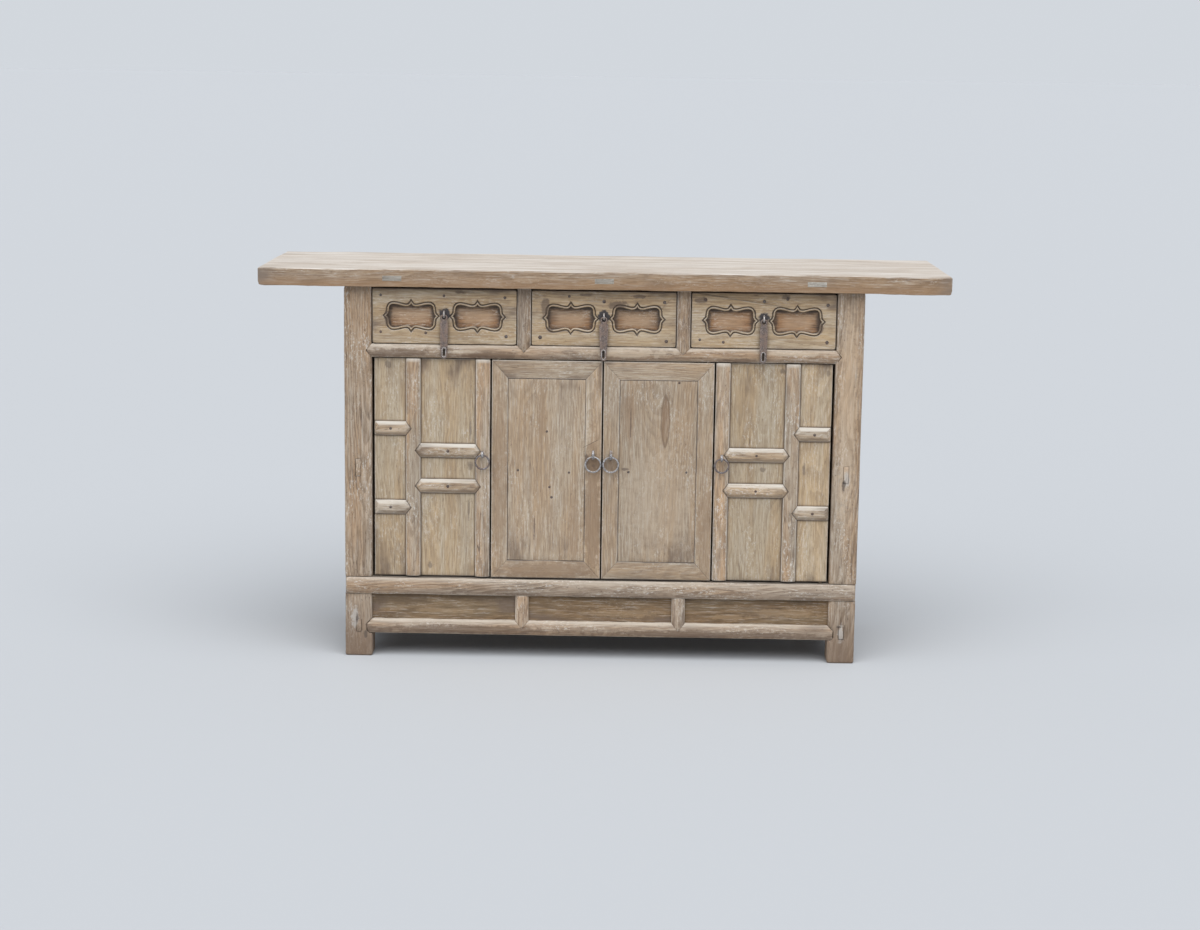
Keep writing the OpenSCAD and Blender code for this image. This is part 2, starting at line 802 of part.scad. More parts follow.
module drawer_backing(x) color(RED_WOOD) difference() {
  w = front_half_w - backing_inset;
  block(x - w, x + w, front_back_y, backing_y, side_z0 + backing_inset, front_z1 - backing_inset);
  eye_bore(x, front_y, hasp_eye_z);
}

// Two sides, the back between them and the bottom between all
module drawer_box(x) color(INSIDE_WOOD) {
  w = front_half_w;
  y0 = backing_y;
  y1 = back_rail_y0 - drawer_back_gap;
  inner_w = w - drawer_side_t;
  back_y = y1 - drawer_side_t;
  z1 = side_z0 + drawer_side_h;
  for (s = [[-w, -inner_w], [inner_w, w]]) block(x + s[0], x + s[1], y0, y1, side_z0, z1);
  block(x - inner_w + board_gap, x + inner_w - board_gap, back_y, y1, side_z0, z1);
  block(x - inner_w + board_gap, x + inner_w - board_gap, y0, back_y - board_gap,
    side_z0 + drawer_bottom_z, side_z0 + drawer_bottom_z + drawer_bottom_t);
}

// Eyes, rings and hasps

// A wire ring about the X axis, centred on the origin
module x_ring(r, wire) {
  rotate([0, 90, 0]) rotate_extrude() translate([r, 0]) circle(wire, $fn = 32);
}

// A wire ring about the Y axis, centred on the origin
module y_ring(r, wire) {
  rotate([90, 0, 0]) rotate_extrude() translate([r, 0]) circle(wire, $fn = 32);
}

// Eye of bent wire with its legs closed in a bore of the wood at face y
module eye(x, y, z) {
  translate([x, y - eye_stand, z]) x_ring(eye_r, eye_wire_r);
  translate([x, y - eye_stand + eye_r, z]) rotate([-90, 0, 0])
    cylinder(eye_stand - eye_r + shank_l, r = eye_wire_r);
}

module eye_bore(x, y, z) {
  translate([x, y - cut, z]) rotate([-90, 0, 0])
    cylinder(shank_l + 2 * cut, r = eye_wire_r + shank_clear);
}

// Ring that hangs in the eye at face y
module hanging_ring(x, y, z, r) {
  translate([x, y - eye_stand, z - hang_drop - r]) y_ring(r, ring_wire_r);
}

// Hasp: a link in the eye, and a flat strap with a slot near its round tip
module hasp(x, w, tip_w) color(DARK_IRON) {
  y = front_y - eye_stand;
  link_z = hasp_eye_z - hang_drop - link_r;
  strap_z1 = link_z - link_r;
  tip_r = tip_w / 2;
  slot_r = slot_w / 2;
  translate([x, y, link_z]) y_ring(link_r, ring_wire_r);
  plate(y - hasp_t / 2, y + hasp_t / 2) translate([x, 0]) difference() {
    union() {
      polygon([[-w / 2, strap_z1 - link_r], [-link_r, strap_z1], [link_r, strap_z1],
        [w / 2, strap_z1 - link_r], [tip_r, hasp_z0 + tip_r], [-tip_r, hasp_z0 + tip_r]]);
      translate([0, hasp_z0 + tip_r]) circle(tip_r);
    }
    for (z = [hasp_z0 + slot_foot + slot_r, hasp_z0 + slot_foot + slot_l - slot_r])
      translate([0, z]) circle(slot_r);
    translate([-slot_r, hasp_z0 + slot_foot + slot_r]) square([slot_w, slot_l - slot_w]);
  }
}

// Outer door, drawn on the right-hand side

// Two upright boards; the outer one carries the door's pivots
module outer_boards() color(DOOR_WOOD) {
  block(mid_stile_x1 - groove, outer_edge_x, board_y, board_back_y, door_z0, door_z1);
  block(lock_stile_x1 - groove, mid_stile_x0 + groove, board_y, board_back_y, door_z0, door_z1);
  pivots(outer_pivot);
}

module bar_plans(y0) {
  half = bar_h / 2;
  plate(y0, board_y) {
    for (s = [-1, 1]) {
      z = door_mid_z + s * long_bar_off;
      pointed(lock_stile_x1, mid_stile_x0, z - half, z + half, bar_point, bar_point);
    }
    for (s = [-1, 1]) {
      z = door_mid_z + s * short_bar_off;
      pointed(mid_stile_x1, outer_edge_x, z - half, z + half, bar_point, 0);
    }
  }
}

// Crowned bars, pointed over the stiles and bevelled towards the door's edge
module outer_bars() color(DOOR_WOOD) difference() {
  x1 = outer_edge_x - bar_end_in;
  intersection() {
    for (off = [-short_bar_off, -long_bar_off, long_bar_off, short_bar_off])
      crossbar(outer_free_x, x1, door_y, door_mid_z + off, bar_h, board_in, crown);
    bar_plans(door_y);
  }
  translate([0, 0, door_z0]) linear_extrude(door_z1 - door_z0)
    polygon([[x1 - bar_bevel, door_y - cut], [x1 + cut, door_y - cut], [x1 + cut, board_y],
      [x1, board_y], [x1 - bar_bevel, door_y]]);
}

module outer_stiles() color(DOOR_WOOD) difference() {
  for (x = [(mid_stile_x0 + mid_stile_x1) / 2, (outer_free_x + lock_stile_x1) / 2])
    upright(x, door_y, door_z0, door_z1, stile_w, board_back_y - door_y, crown);
  outer_boards();
  bar_plans(door_y - cut);
  eye_bore(outer_eye_x, door_y, eye_z);
}

// Round pivots that turn in the rails over and under a door
module pivots(p) {
  length = pivot_l - pivot_end_gap;
  translate([p[0], p[1], door_z1]) cylinder(door_over_gap + length, r = pivot_r);
  translate([p[0], p[1], door_z0 - door_under_gap - length]) cylinder(door_under_gap + length, r = pivot_r);
}

// Batten behind the outer board's edge, and two ledges, all nailed behind the boards
module outer_back_frame() color(DOOR_WOOD) {
  x = outer_edge_x - batten_w;
  y = board_back_y + ledge_t;
  block(x, outer_edge_x, board_back_y, y, door_z0, door_z1);
  for (z = [door_z0 + ledge_in, door_z1 - ledge_in - ledge_h])
    block(outer_free_x + groove, x - board_gap, board_back_y, y, z, z + ledge_h);
}

// Centre door, drawn on the right-hand side

module centre_tongue() {
  y = door_y + panel_in + (panel_t - tongue_t) / 2;
  x0 = centre_free_x + frame_stile_w - groove;
  x1 = centre_edge_x - frame_stile_w + groove;
  block(x0, x1, y, y + tongue_t, door_z0 + frame_rail_h - groove, door_z1 - frame_rail_h + groove);
}

module centre_panel() color(DOOR_WOOD) {
  y = door_y + panel_in;
  g = panel_gap;
  block(centre_free_x + frame_stile_w + g, centre_edge_x - frame_stile_w - g, y, y + panel_t,
    door_z0 + frame_rail_h + g, door_z1 - frame_rail_h - g);
  centre_tongue();
}

// Mitred face of the frame's uprights and of its rails
module stile_faces() {
  x0 = centre_free_x;
  x1 = centre_edge_x;
  w = frame_stile_w;
  h = frame_rail_h;
  polygon([[x0, door_z0], [x0 + w, door_z0 + h], [x0 + w, door_z1 - h], [x0, door_z1]]);
  polygon([[x1, door_z0], [x1, door_z1], [x1 - w, door_z1 - h], [x1 - w, door_z0 + h]]);
}

module rail_faces() {
  x0 = centre_free_x;
  x1 = centre_edge_x;
  w = frame_stile_w;
  h = frame_rail_h;
  polygon([[x0, door_z0], [x1, door_z0], [x1 - w, door_z0 + h], [x0 + w, door_z0 + h]]);
  polygon([[x0, door_z1], [x0 + w, door_z1 - h], [x1 - w, door_z1 - h], [x1, door_z1]]);
}

// Behind the mitred face the uprights run the full height, and carry the pivots
module centre_stiles() color(DOOR_WOOD) difference() {
  y1 = door_y + mitre_d;
  y2 = door_y + frame_t;
  w = frame_stile_w;
  union() {
    plate(door_y, y1) stile_faces();
    block(centre_free_x, centre_free_x + w, y1, y2, door_z0, door_z1);
    block(centre_edge_x - w, centre_edge_x, y1, y2, door_z0, door_z1);
    pivots(centre_pivot);
  }
  centre_tongue();
  eye_bore(centre_eye_x, door_y, eye_z);
}

module centre_rails() color(DOOR_WOOD) difference() {
  y1 = door_y + mitre_d;
  y2 = door_y + frame_t;
  w = frame_stile_w;
  union() {
    plate(door_y, y1) rail_faces();
    for (z = [door_z0, door_z1 - frame_rail_h])
      block(centre_free_x + w, centre_edge_x - w, y1, y2, z, z + frame_rail_h);
  }
  centre_tongue();
}

module outer_eye() color(GREY_IRON) eye(outer_eye_x, door_y, eye_z);
module centre_eye() color(GREY_IRON) eye(centre_eye_x, door_y, eye_z);
module outer_ring() color(GREY_IRON) hanging_ring(outer_eye_x, door_y, eye_z, outer_ring_r);
module centre_ring() color(GREY_IRON) hanging_ring(centre_eye_x, door_y, eye_z, centre_ring_r);
module drawer_staple(x) color(DARK_IRON) eye(x, front_y, hasp_eye_z);

// The left-hand pieces are drawn as mirror images
module left() {
  mirror([1, 0, 0]) children();
}

top_board();
edge_patches();
front_leg(-1);  // leg_front_left
front_leg(1);  // leg_front_right
back_leg(-1);  // leg_back_left
back_leg(1);  // leg_back_right
drawer_rail();
drawer_posts();
front_top_rail();
bottom_rail();
front_stretcher();
apron_struts();
apron_panels();
side_rails();
side_panels();
back_rails();
back_boards();
cupboard_floor();
shelf();
drawer_runners();

drawer_front(-drawer_pitch);  // drawer_left_front
drawer_backing(-drawer_pitch);  // drawer_left_backing
drawer_box(-drawer_pitch);  // drawer_left_box
drawer_staple(-drawer_pitch);  // drawer_left_staple
hasp(-drawer_pitch, hasp_w, hasp_tip_w);  // drawer_left_hasp
drawer_front(0);  // drawer_middle_front
drawer_backing(0);  // drawer_middle_backing
drawer_box(0);  // drawer_middle_box
drawer_staple(0);  // drawer_middle_staple
hasp(0, middle_hasp_w, middle_hasp_tip_w);  // drawer_middle_hasp
drawer_front(drawer_pitch);  // drawer_right_front
drawer_backing(drawer_pitch);  // drawer_right_backing
drawer_box(drawer_pitch);  // drawer_right_box
drawer_staple(drawer_pitch);  // drawer_right_staple
hasp(drawer_pitch, hasp_w, hasp_tip_w);  // drawer_right_hasp

left() outer_boards();  // outer_door_left_boards
left() outer_stiles();  // outer_door_left_stiles
left() outer_bars();  // outer_door_left_bars
left() outer_back_frame();  // outer_door_left_back_frame
left() outer_eye();  // outer_door_left_eye
left() outer_ring();  // outer_door_left_ring
outer_boards();  // outer_door_right_boards
outer_stiles();  // outer_door_right_stiles
outer_bars();  // outer_door_right_bars
outer_back_frame();  // outer_door_right_back_frame
outer_eye();  // outer_door_right_eye
outer_ring();  // outer_door_right_ring

left() centre_stiles();  // centre_door_left_stiles
left() centre_rails();  // centre_door_left_rails
left() centre_panel();  // centre_door_left_panel
left() centre_eye();  // centre_door_left_eye
left() centre_ring();  // centre_door_left_ring
centre_stiles();  // centre_door_right_stiles
centre_rails();  // centre_door_right_rails
centre_panel();  // centre_door_right_panel
centre_eye();  // centre_door_right_eye
centre_ring();  // centre_door_right_ring
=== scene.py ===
import json
import math
import random

import bpy
from mathutils import Matrix, Vector

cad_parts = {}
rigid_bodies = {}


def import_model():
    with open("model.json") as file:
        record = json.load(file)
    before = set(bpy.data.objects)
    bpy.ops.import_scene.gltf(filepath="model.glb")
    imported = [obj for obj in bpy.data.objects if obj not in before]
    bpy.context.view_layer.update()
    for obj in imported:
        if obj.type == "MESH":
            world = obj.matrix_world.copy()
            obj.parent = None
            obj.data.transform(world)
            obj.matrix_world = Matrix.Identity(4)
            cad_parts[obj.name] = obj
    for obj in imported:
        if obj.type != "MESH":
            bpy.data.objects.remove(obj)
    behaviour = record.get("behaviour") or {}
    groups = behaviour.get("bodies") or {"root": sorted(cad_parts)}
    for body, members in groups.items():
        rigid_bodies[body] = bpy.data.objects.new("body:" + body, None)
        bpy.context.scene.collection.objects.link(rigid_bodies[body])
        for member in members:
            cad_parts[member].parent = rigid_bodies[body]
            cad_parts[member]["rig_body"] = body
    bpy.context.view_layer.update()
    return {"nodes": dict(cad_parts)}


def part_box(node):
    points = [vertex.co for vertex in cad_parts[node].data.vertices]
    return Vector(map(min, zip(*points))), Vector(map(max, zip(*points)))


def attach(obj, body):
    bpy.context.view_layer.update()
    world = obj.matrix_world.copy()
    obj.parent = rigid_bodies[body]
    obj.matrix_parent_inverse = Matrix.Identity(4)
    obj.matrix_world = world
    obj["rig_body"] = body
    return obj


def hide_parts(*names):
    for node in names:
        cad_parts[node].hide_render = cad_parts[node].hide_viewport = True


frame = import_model()
bpy.ops.object.select_all(action="DESELECT")


# The viewpoint: a camera 5.3 m in front of the cabinet at about eye height, aimed a little
# down at the doors. Its place, lens and tilt were solved from the corners of the top, legs and rails.

eye_place = Vector((0.05795, -5.29535, 1.33677))
looks_down = 0.1727
turned_left = 0.0122
tilted = 0.0139
focal_length = 69.48

camera_data = bpy.data.cameras.new("camera")
camera_data.lens = focal_length
camera_data.sensor_width = 36
camera = bpy.data.objects.new("camera", camera_data)
bpy.context.scene.collection.objects.link(camera)
turn = Matrix.Rotation(turned_left, 4, "Z") @ Matrix.Rotation(math.pi / 2 - looks_down, 4, "X")
camera.matrix_world = Matrix.Translation(eye_place) @ turn @ Matrix.Rotation(tilted, 4, "Z")
bpy.context.scene.camera = camera


# The studio: a plain pale floor out to the horizon under a pale overcast sky, with two very
# soft suns, one high in front of the cabinet and a weaker one low on the left.

floor_size = 400.0

bpy.ops.mesh.primitive_grid_add(x_subdivisions=2, y_subdivisions=2, size=floor_size)
floor = bpy.context.object
floor.name = "floor"
floor_paint = bpy.data.materials.new("floor paint")
floor_paint.use_nodes = True
floor_shader = floor_paint.node_tree.nodes["Principled BSDF"]
floor_shader.inputs["Base Color"].default_value = (0.50, 0.52, 0.545, 1)
floor_shader.inputs["Roughness"].default_value = 0.9
floor.data.materials.append(floor_paint)


def soft_sun(name, place, spread, strength):
    """A sun in the direction of that place, whose light comes from a disc of sky spread degrees wide."""
    bpy.ops.object.light_add(type="SUN", location=place)
    sun = bpy.context.object
    sun.name = name
    sun.data.angle = math.radians(spread)
    sun.data.energy = strength
    sun.rotation_euler = (-Vector(place)).to_track_quat("-Z", "Y").to_euler()


soft_sun("high sun", (0.12, -0.50, 0.86), 70, 2.9)
soft_sun("side sun", (-0.80, -0.60, 0.35), 60, 0.7)


class Wire:
    """An output of a shader node. Arithmetic on it adds Math nodes to the same material."""

    def __init__(self, tree, socket=None):
        self.tree = tree
        self.socket = socket

    def node(self, kind, settings, inputs, output=0):
        """Adds a node: its settings first, then the values or wires of its sockets."""
        made = self.tree.nodes.new("ShaderNode" + kind)
        for name, value in settings.items():
            setattr(made, name, value)
        for name, value in inputs.items():
            if isinstance(value, Wire):
                self.tree.links.new(value.socket, made.inputs[name])
            else:
                made.inputs[name].default_value = value
        return Wire(self.tree, made.outputs[output])

    def maths(self, operation, *values):
        return self.node("Math", {"operation": operation}, dict(enumerate(values)))

    def __add__(self, other):
        return self.maths("ADD", self, other)

    def __sub__(self, other):
        return self.maths("SUBTRACT", self, other)

    def __rsub__(self, other):
        return self.maths("SUBTRACT", other, self)

    def __mul__(self, other):
        return self.maths("MULTIPLY", self, other)

    def __truediv__(self, other):
        return self.maths("DIVIDE", self, other)

    def __abs__(self):
        return self.maths("ABSOLUTE", self)

    __radd__ = __add__
    __rmul__ = __mul__

    def least(self, other):
        return self.maths("MINIMUM", self, other)

    def most(self, other):
        return self.maths("MAXIMUM", self, other)

    def rise(self, start, end):
        """0 before start and 1 after end, with a smooth step between; falls where end is lower."""
        limits = {"Value": self, "From Min": start, "From Max": end}
        return self.node("MapRange", {"interpolation_type": "SMOOTHSTEP"}, limits)

    def axis(self, name):
        return self.node("SeparateXYZ", {}, {0: self}, name)

    def vector(self, operation, other):
        return self.node("VectorMath", {"operation": operation}, {0: self, 1: other})

    def scaled(self, factor):
        return self.node("VectorMath", {"operation": "SCALE"}, {0: self, "Scale": factor})

    def noise(self, feature, shift, detail=3.0, rough=0.55, output=0):
        """Noise from 0 to 1 whose features have that size along, across and into the board."""
        place = self.vector("MULTIPLY", [1 / length for length in feature]).vector("ADD", shift)
        sockets = {"Vector": place, "Scale": 1.0, "Detail": detail, "Roughness": rough}
        return self.node("TexNoise", {}, sockets, output)

    def lay(self, paint, ground):
        """Paint laid on the ground colour where this mask is 1."""
        colours = [c if isinstance(c, Wire) else (*c, 1.0) for c in (ground, paint)]
        return self.node("Mix", {"data_type": "RGBA"}, {0: self, 6: colours[0], 7: colours[1]}, 2)


world = bpy.data.worlds.new("overcast sky")
bpy.context.scene.world = world
world.use_nodes = True
sky = Wire(world.node_tree)
height_in_sky = sky.node("TexCoord", {}, {}, "Generated").axis("Z")
glow = height_in_sky.rise(0.0, 0.8).lay((0.46, 0.48, 0.51), (0.06, 0.063, 0.067))
rays = [sky.node("LightPath", {}, {}, f"Is {kind} Ray") for kind in ("Camera", "Glossy", "Transmission")]
seen = rays[0].most(rays[1]).most(rays[2]).lay((0.647, 0.682, 0.726), glow)
world.node_tree.links.new(seen.socket, world.node_tree.nodes["Background"].inputs["Color"])
bpy.context.scene.view_settings.view_transform = "Standard"
bpy.ops.object.select_all(action="DESELECT")


# The top: one thick plank of old elm, almost white above from bleaching and from painted light
# from above, and brown at its edge, with worn arrises. It sits on the legs' tenons and carries
# three patches let into the front edge.

def gap_to(value, lines):
    """How far the value is from the nearest of the lines."""
    gap = abs(value - lines[0])
    for line in lines[1:]:
        gap = gap.least(abs(value - line))
    return gap


def apart(a, b):
    """Length of the slant across those two distances."""
    square = a * a + b * b
    return square.maths("SQRT", square)


def blots(place, colour, paint, spots, strength):
    """Paints uneven spots on the front: each has its place, x and z, and its half width and height."""
    ragged = (place.noise((0.015, 0.015, 0.015), (0, 0, 0), 4.0, 0.7) - 0.5) * 2.0
    right = place.axis("X")
    up = place.axis("Z")
    for x, z, wide, high in spots:
        inside = apart((right - x) / wide, (up - z) / high) + ragged
        colour = (inside.rise(1.0, 0.5) * strength).lay(paint, colour)
    return colour


lime_white = (0.66, 0.63, 0.58)
stain_brown = (0.16, 0.115, 0.085)
crack_black = (0.085, 0.055, 0.04)
# Colour of painted shade on edges that face a gap.
gap_shade_black = (0.060, 0.044, 0.034)


def old_wood(name, pale, warm, dark, ring=0.006, figure=0.5, streaky=0.45, whiting=0.35, cracks=0.5, soil=0.4,
             bleach=(0.60, 0.56, 0.50), bleached=0.45, crown=0.0, worn=0.35, gap_shading=0.0, marks=None):
    """Bare weathered wood. It reads three attributes of the board: grain, its place along, across
    and into the board, from the middle; half_size, the board's half sizes; and luck, three random
    numbers of the board. Rings round a pith behind the face give the figure, and ring is how far
    apart they are. Figure, streaky, whiting, cracks, soil, bleached and worn are how
    strongly the rings, streaks, white flecks, cracks, stains, pale upper faces and rubbed arrises
    show. The upper faces are pale from bleaching and from painted light from above, in the colour
    bleach, which also paints the pale streaks, fibres and rubbed arrises; faces turned
    down take painted shade in the dark colour. Crown is how much lower the face lies at its sides,
    and gap_shading how dark the edges are that face a gap, painted shade for the gap's shadow.
    Marks, where given, takes the object's coordinates, the grain, a blotchy noise and the colour,
    and paints over it."""
    material = bpy.data.materials.new(name)
    material.use_nodes = True
    tree = material.node_tree
    shader = tree.nodes["Principled BSDF"]
    board = Wire(tree)
    grain = board.node("Attribute", {"attribute_name": "grain"}, {}, "Vector")
    half = board.node("Attribute", {"attribute_name": "half_size"}, {}, "Vector")
    luck = board.node("Attribute", {"attribute_name": "luck"}, {}, "Vector")
    shift = luck.scaled(40.0)
    along, across, deep = (grain.axis(name) for name in "XYZ")

    warp = grain.noise((0.30, 0.07, 0.07), shift, 2.0, 0.4, output=1)
    pith_across = across + (warp.axis("X") - 0.5) * 0.045 + (luck.axis("X") - 0.5) * 0.09
    slope = along * (luck.axis("Z") - 0.5) * 0.16
    pith_deep = deep + (warp.axis("Y") - 0.5) * 0.045 + luck.axis("Y") * 0.07 + 0.03 + slope
    square = pith_across * pith_across + pith_deep * pith_deep
    turns = square.maths("SQRT", square) / ring + warp.axis("Z") * 1.4
    saw = turns.maths("FRACT", turns)
    rings = saw.rise(0.05, 0.86) * saw.rise(1.0, 0.90)

    streaks = grain.noise((0.11, 0.0044, 0.0044), shift, 4.0, 0.68)
    fibres = grain.noise((0.038, 0.0025, 0.0025), shift, 3.0, 0.65)
    tones = grain.noise((0.34, 0.035, 0.035), shift, 2.0, 0.5, output=1)
    patches = grain.noise((0.11, 0.045, 0.045), shift, 3.0, 0.6, output=1)
    specks = grain.noise((0.009, 0.0036, 0.0036), shift, 3.0, 0.75)
    lines = grain.noise((0.30, 0.0085, 0.0085), shift, 2.0, 0.5)

    end_gap = half.axis("X") - abs(along)
    side_gap = half.axis("Y") - abs(across)
    curve = across / half.axis("Y")
    face_gap = half.axis("Z") - abs(deep) - curve * curve * crown
    arris = end_gap.least(side_gap).most(end_gap.most(side_gap).least(face_gap))

    colour = tones.axis("X").rise(0.36, 0.64).lay(warm, pale)
    figured = rings * figure * (0.35 + 0.65 * patches.axis("X").rise(0.35, 0.6))
    colour = figured.lay(dark, colour)
    colour = (streaks.rise(0.50, 0.68) * streaky).lay(dark, colour)
    colour = (streaks.rise(0.47, 0.33) * 0.6 * streaky).lay(bleach, colour)
    colour = (fibres.rise(0.53, 0.60) * 0.50).lay(dark, colour)
    colour = (fibres.rise(0.45, 0.36) * 0.32).lay(bleach, colour)
    board_tone = 0.90 + 0.20 * luck.axis("Z")
    colour = colour.scaled(board_tone * (0.93 + 0.14 * tones.axis("Y")))

    limed = patches.axis("Y").rise(0.45, 0.62) + arris.rise(0.006, 0.001) * 0.6
    white = (specks.rise(0.54, 0.62) * limed * whiting).least(0.9)
    colour = white.lay(lime_white, colour)
    near_end = end_gap.rise(0.10, 0.0) + side_gap.rise(0.012, 0.0) * 0.6
    stain = patches.axis("Z").rise(0.50, 0.72) * (0.25 + near_end) * soil
    colour = stain.least(0.8).lay(stain_brown, colour)
    crack = abs(lines - 0.5).rise(0.016, 0.004) * patches.axis("X").rise(0.52, 0.66) * cracks
    pits = specks.rise(0.39, 0.32) * cracks
    colour = crack.most(pits * 0.7).lay(crack_black, colour)
    rubbed = (arris.rise(0.0030, 0.0005) * worn * (0.4 + 1.2 * patches.axis("Y"))).least(1.0)
    colour = rubbed.lay(bleach, colour)
    # Edges that face a gap are darkened: painted shade standing for the gap's shadow.
    colour = (face_gap.rise(0.0012, 0.0035) * gap_shading).lay(gap_shade_black, colour)
    # Faces turned up are painted paler: bleaching and painted light from above. Faces turned down are
    # darkened: painted shade.
    facing = board.node("NewGeometry", {}, {}, "Normal").axis("Z")
    mottled = 1.38 - 0.58 * streaks.rise(0.35, 0.65) - 0.42 * tones.axis("Z").rise(0.36, 0.64)
    colour = (facing.rise(0.06, 0.62) * bleached * mottled).least(1.0).lay(bleach, colour)
    colour = (facing.rise(-0.06, -0.62) * 0.5).lay(dark, colour)
    if marks:
        place = board.node("TexCoord", {}, {}, "Object")
        colour = marks(place, grain, patches, colour)
    tree.links.new(colour.socket, shader.inputs["Base Color"])

    roughness = 0.86 - 0.12 * figured - 0.10 * rubbed + 0.06 * fibres
    tree.links.new(roughness.socket, shader.inputs["Roughness"])
    height = 1.0 - 0.35 * rings - 0.55 * fibres.rise(0.45, 0.75) - 1.2 * crack - 0.8 * pits
    bump = board.node("Bump", {}, {"Height": height + 0.5 * streaks, "Strength": 0.55, "Distance": 0.0006})
    tree.links.new(bump.socket, shader.inputs["Normal"])
    return material


def copied(node, merge=0.00001):
    """A copy of a frame piece, active in edit mode, its triangles joined to whole faces.
    Corners nearer than merge become one."""
    piece = bpy.data.objects.new(f"{node}_worn", frame["nodes"][node].data.copy())
    bpy.context.scene.collection.objects.link(piece)
    bpy.ops.object.select_all(action="DESELECT")
    piece.select_set(True)
    bpy.context.view_layer.objects.active = piece
    bpy.ops.object.mode_set(mode="EDIT")
    bpy.ops.mesh.select_all(action="SELECT")
    bpy.ops.mesh.remove_doubles(threshold=merge)
    bpy.ops.mesh.dissolve_limited(angle_limit=math.radians(0.5))
    bpy.ops.mesh.customdata_custom_splitnormals_clear()
    return piece


def weighted(piece, weight):
    """Gives each edge its bevel weight, which is worked out from the places of its two corners."""
    bpy.ops.object.mode_set(mode="OBJECT")
    weights = piece.data.attributes.new("bevel_weight_edge", "FLOAT", "EDGE")
    for edge in piece.data.edges:
        a, b = (piece.data.vertices[corner].co for corner in edge.vertices)
        weights.data[edge.index].value = weight(a, b)


def eased(piece, width, segments=2, angle=30, limit="ANGLE"):
    """Rounds every arris sharper than the angle, or those with a bevel weight, and goes back to
    object mode."""
    bpy.ops.object.mode_set(mode="OBJECT")
    rounding = piece.modifiers.new("eased", "BEVEL")
    rounding.width = width
    rounding.segments = segments
    rounding.limit_method = limit
    rounding.angle_limit = math.radians(angle)
    rounding.use_clamp_overlap = False
    bpy.ops.object.modifier_apply(modifier="eased")


def sliced(piece, steps):
    """Cuts the faces across, one cut at each step along each axis that has one."""
    corners = [v.co.copy() for v in piece.data.vertices]
    bpy.ops.object.mode_set(mode="EDIT")
    for axis, step in steps.items():
        i = "xyz".index(axis)
        low = min(c[i] for c in corners)
        high = max(c[i] for c in corners)
        count = max(1, round((high - low) / step))
        direction = Vector([float(k == i) for k in range(3)])
        for cut in range(1, count):
            bpy.ops.mesh.select_all(action="SELECT")
            bpy.ops.mesh.bisect(plane_co=direction * (low + (high - low) * cut / count), plane_no=direction)
    bpy.ops.object.mode_set(mode="OBJECT")


def swelled(piece, depth, feature, direction="NORMAL", level=0.5, group=""):
    """Moves the surface in and out by soft noise of that feature size, as old wood has warped."""
    cloud = bpy.data.textures.new("warp", type="CLOUDS")
    cloud.noise_scale = feature
    cloud.noise_depth = 1
    swell = piece.modifiers.new("swelled", "DISPLACE")
    swell.texture = cloud
    swell.texture_coords = "LOCAL"
    swell.direction = direction
    swell.strength = depth
    swell.mid_level = level
    swell.vertex_group = group
    bpy.ops.object.modifier_apply(modifier="swelled")


def arrises(piece, worn=lambda spot: True):
    """A vertex group of the corners where the surface turns, for wear along the edges."""
    group = piece.vertex_groups.new(name="arrises")
    normals = {}
    for face in piece.data.polygons:
        for corner in face.vertices:
            normals.setdefault(corner, []).append(face.normal)
    turned = [c for c, around in normals.items()
              if min(around[0].dot(n) for n in around) < 0.93 and worn(piece.data.vertices[c].co)]
    group.add(turned, 1.0, "REPLACE")
    return group.name


def boards_of(mesh):
    """The corners of each loose board of a mesh, as lists of vertex numbers."""
    near = [[] for _ in mesh.vertices]
    for a, b in mesh.edge_keys:
        near[a].append(b)
        near[b].append(a)
    left = set(range(len(near)))
    while left:
        board = [left.pop()]
        for corner in board:
            reached = [c for c in near[corner] if c in left]
            left.difference_update(reached)
            board.extend(reached)
        yield board


def grained(piece, axes=""):
    """Gives each board of the piece its grain: axes names the way along, across and into it.
    With none named, the longest side is along and the shortest is deep."""
    mesh = piece.data
    spots = [corner.co.copy() for corner in mesh.vertices]
    values = {"grain": {}, "half_size": {}, "luck": {}}
    for number, board in enumerate(sorted(boards_of(mesh), key=min)):
        low = [min(spots[corner][i] for corner in board) for i in range(3)]
        high = [max(spots[corner][i] for corner in board) for i in range(3)]
        order = ["xyz".index(axis) for axis in axes] or sorted(range(3), key=lambda i: low[i] - high[i])
        half_size = [(high[i] - low[i]) / 2 for i in order]
        chance = random.Random(f"{piece.name} {number}")
        luck = [chance.random() for _ in range(3)]
        for corner in board:
            values["grain"][corner] = [spots[corner][i] - (low[i] + high[i]) / 2 for i in order]
            values["half_size"][corner] = half_size
            values["luck"][corner] = luck
    for name, vectors in values.items():
        layer = mesh.attributes.new(name, "FLOAT_VECTOR", "POINT")
        layer.data.foreach_set("vector", [x for corner in range(len(spots)) for x in vectors[corner]])


def stands_for(piece, node, materials):
    """Finishes a piece that shows in place of a frame piece, on the same body, and hides the frame
    piece. With no materials given it keeps its own."""
    if materials:
        piece.data.materials.clear()
    for material in materials:
        piece.data.materials.append(material)
    bpy.ops.object.select_all(action="DESELECT")
    piece.select_set(True)
    bpy.context.view_layer.objects.active = piece
    bpy.ops.object.shade_smooth_by_angle(angle=math.radians(32))
    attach(piece, frame["nodes"][node]["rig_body"])
    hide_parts(node)


top_mid = 0.86
patch_zone = 0.012
end_x = 0.76
worn_end = 0.75
edge_fade = -0.2175


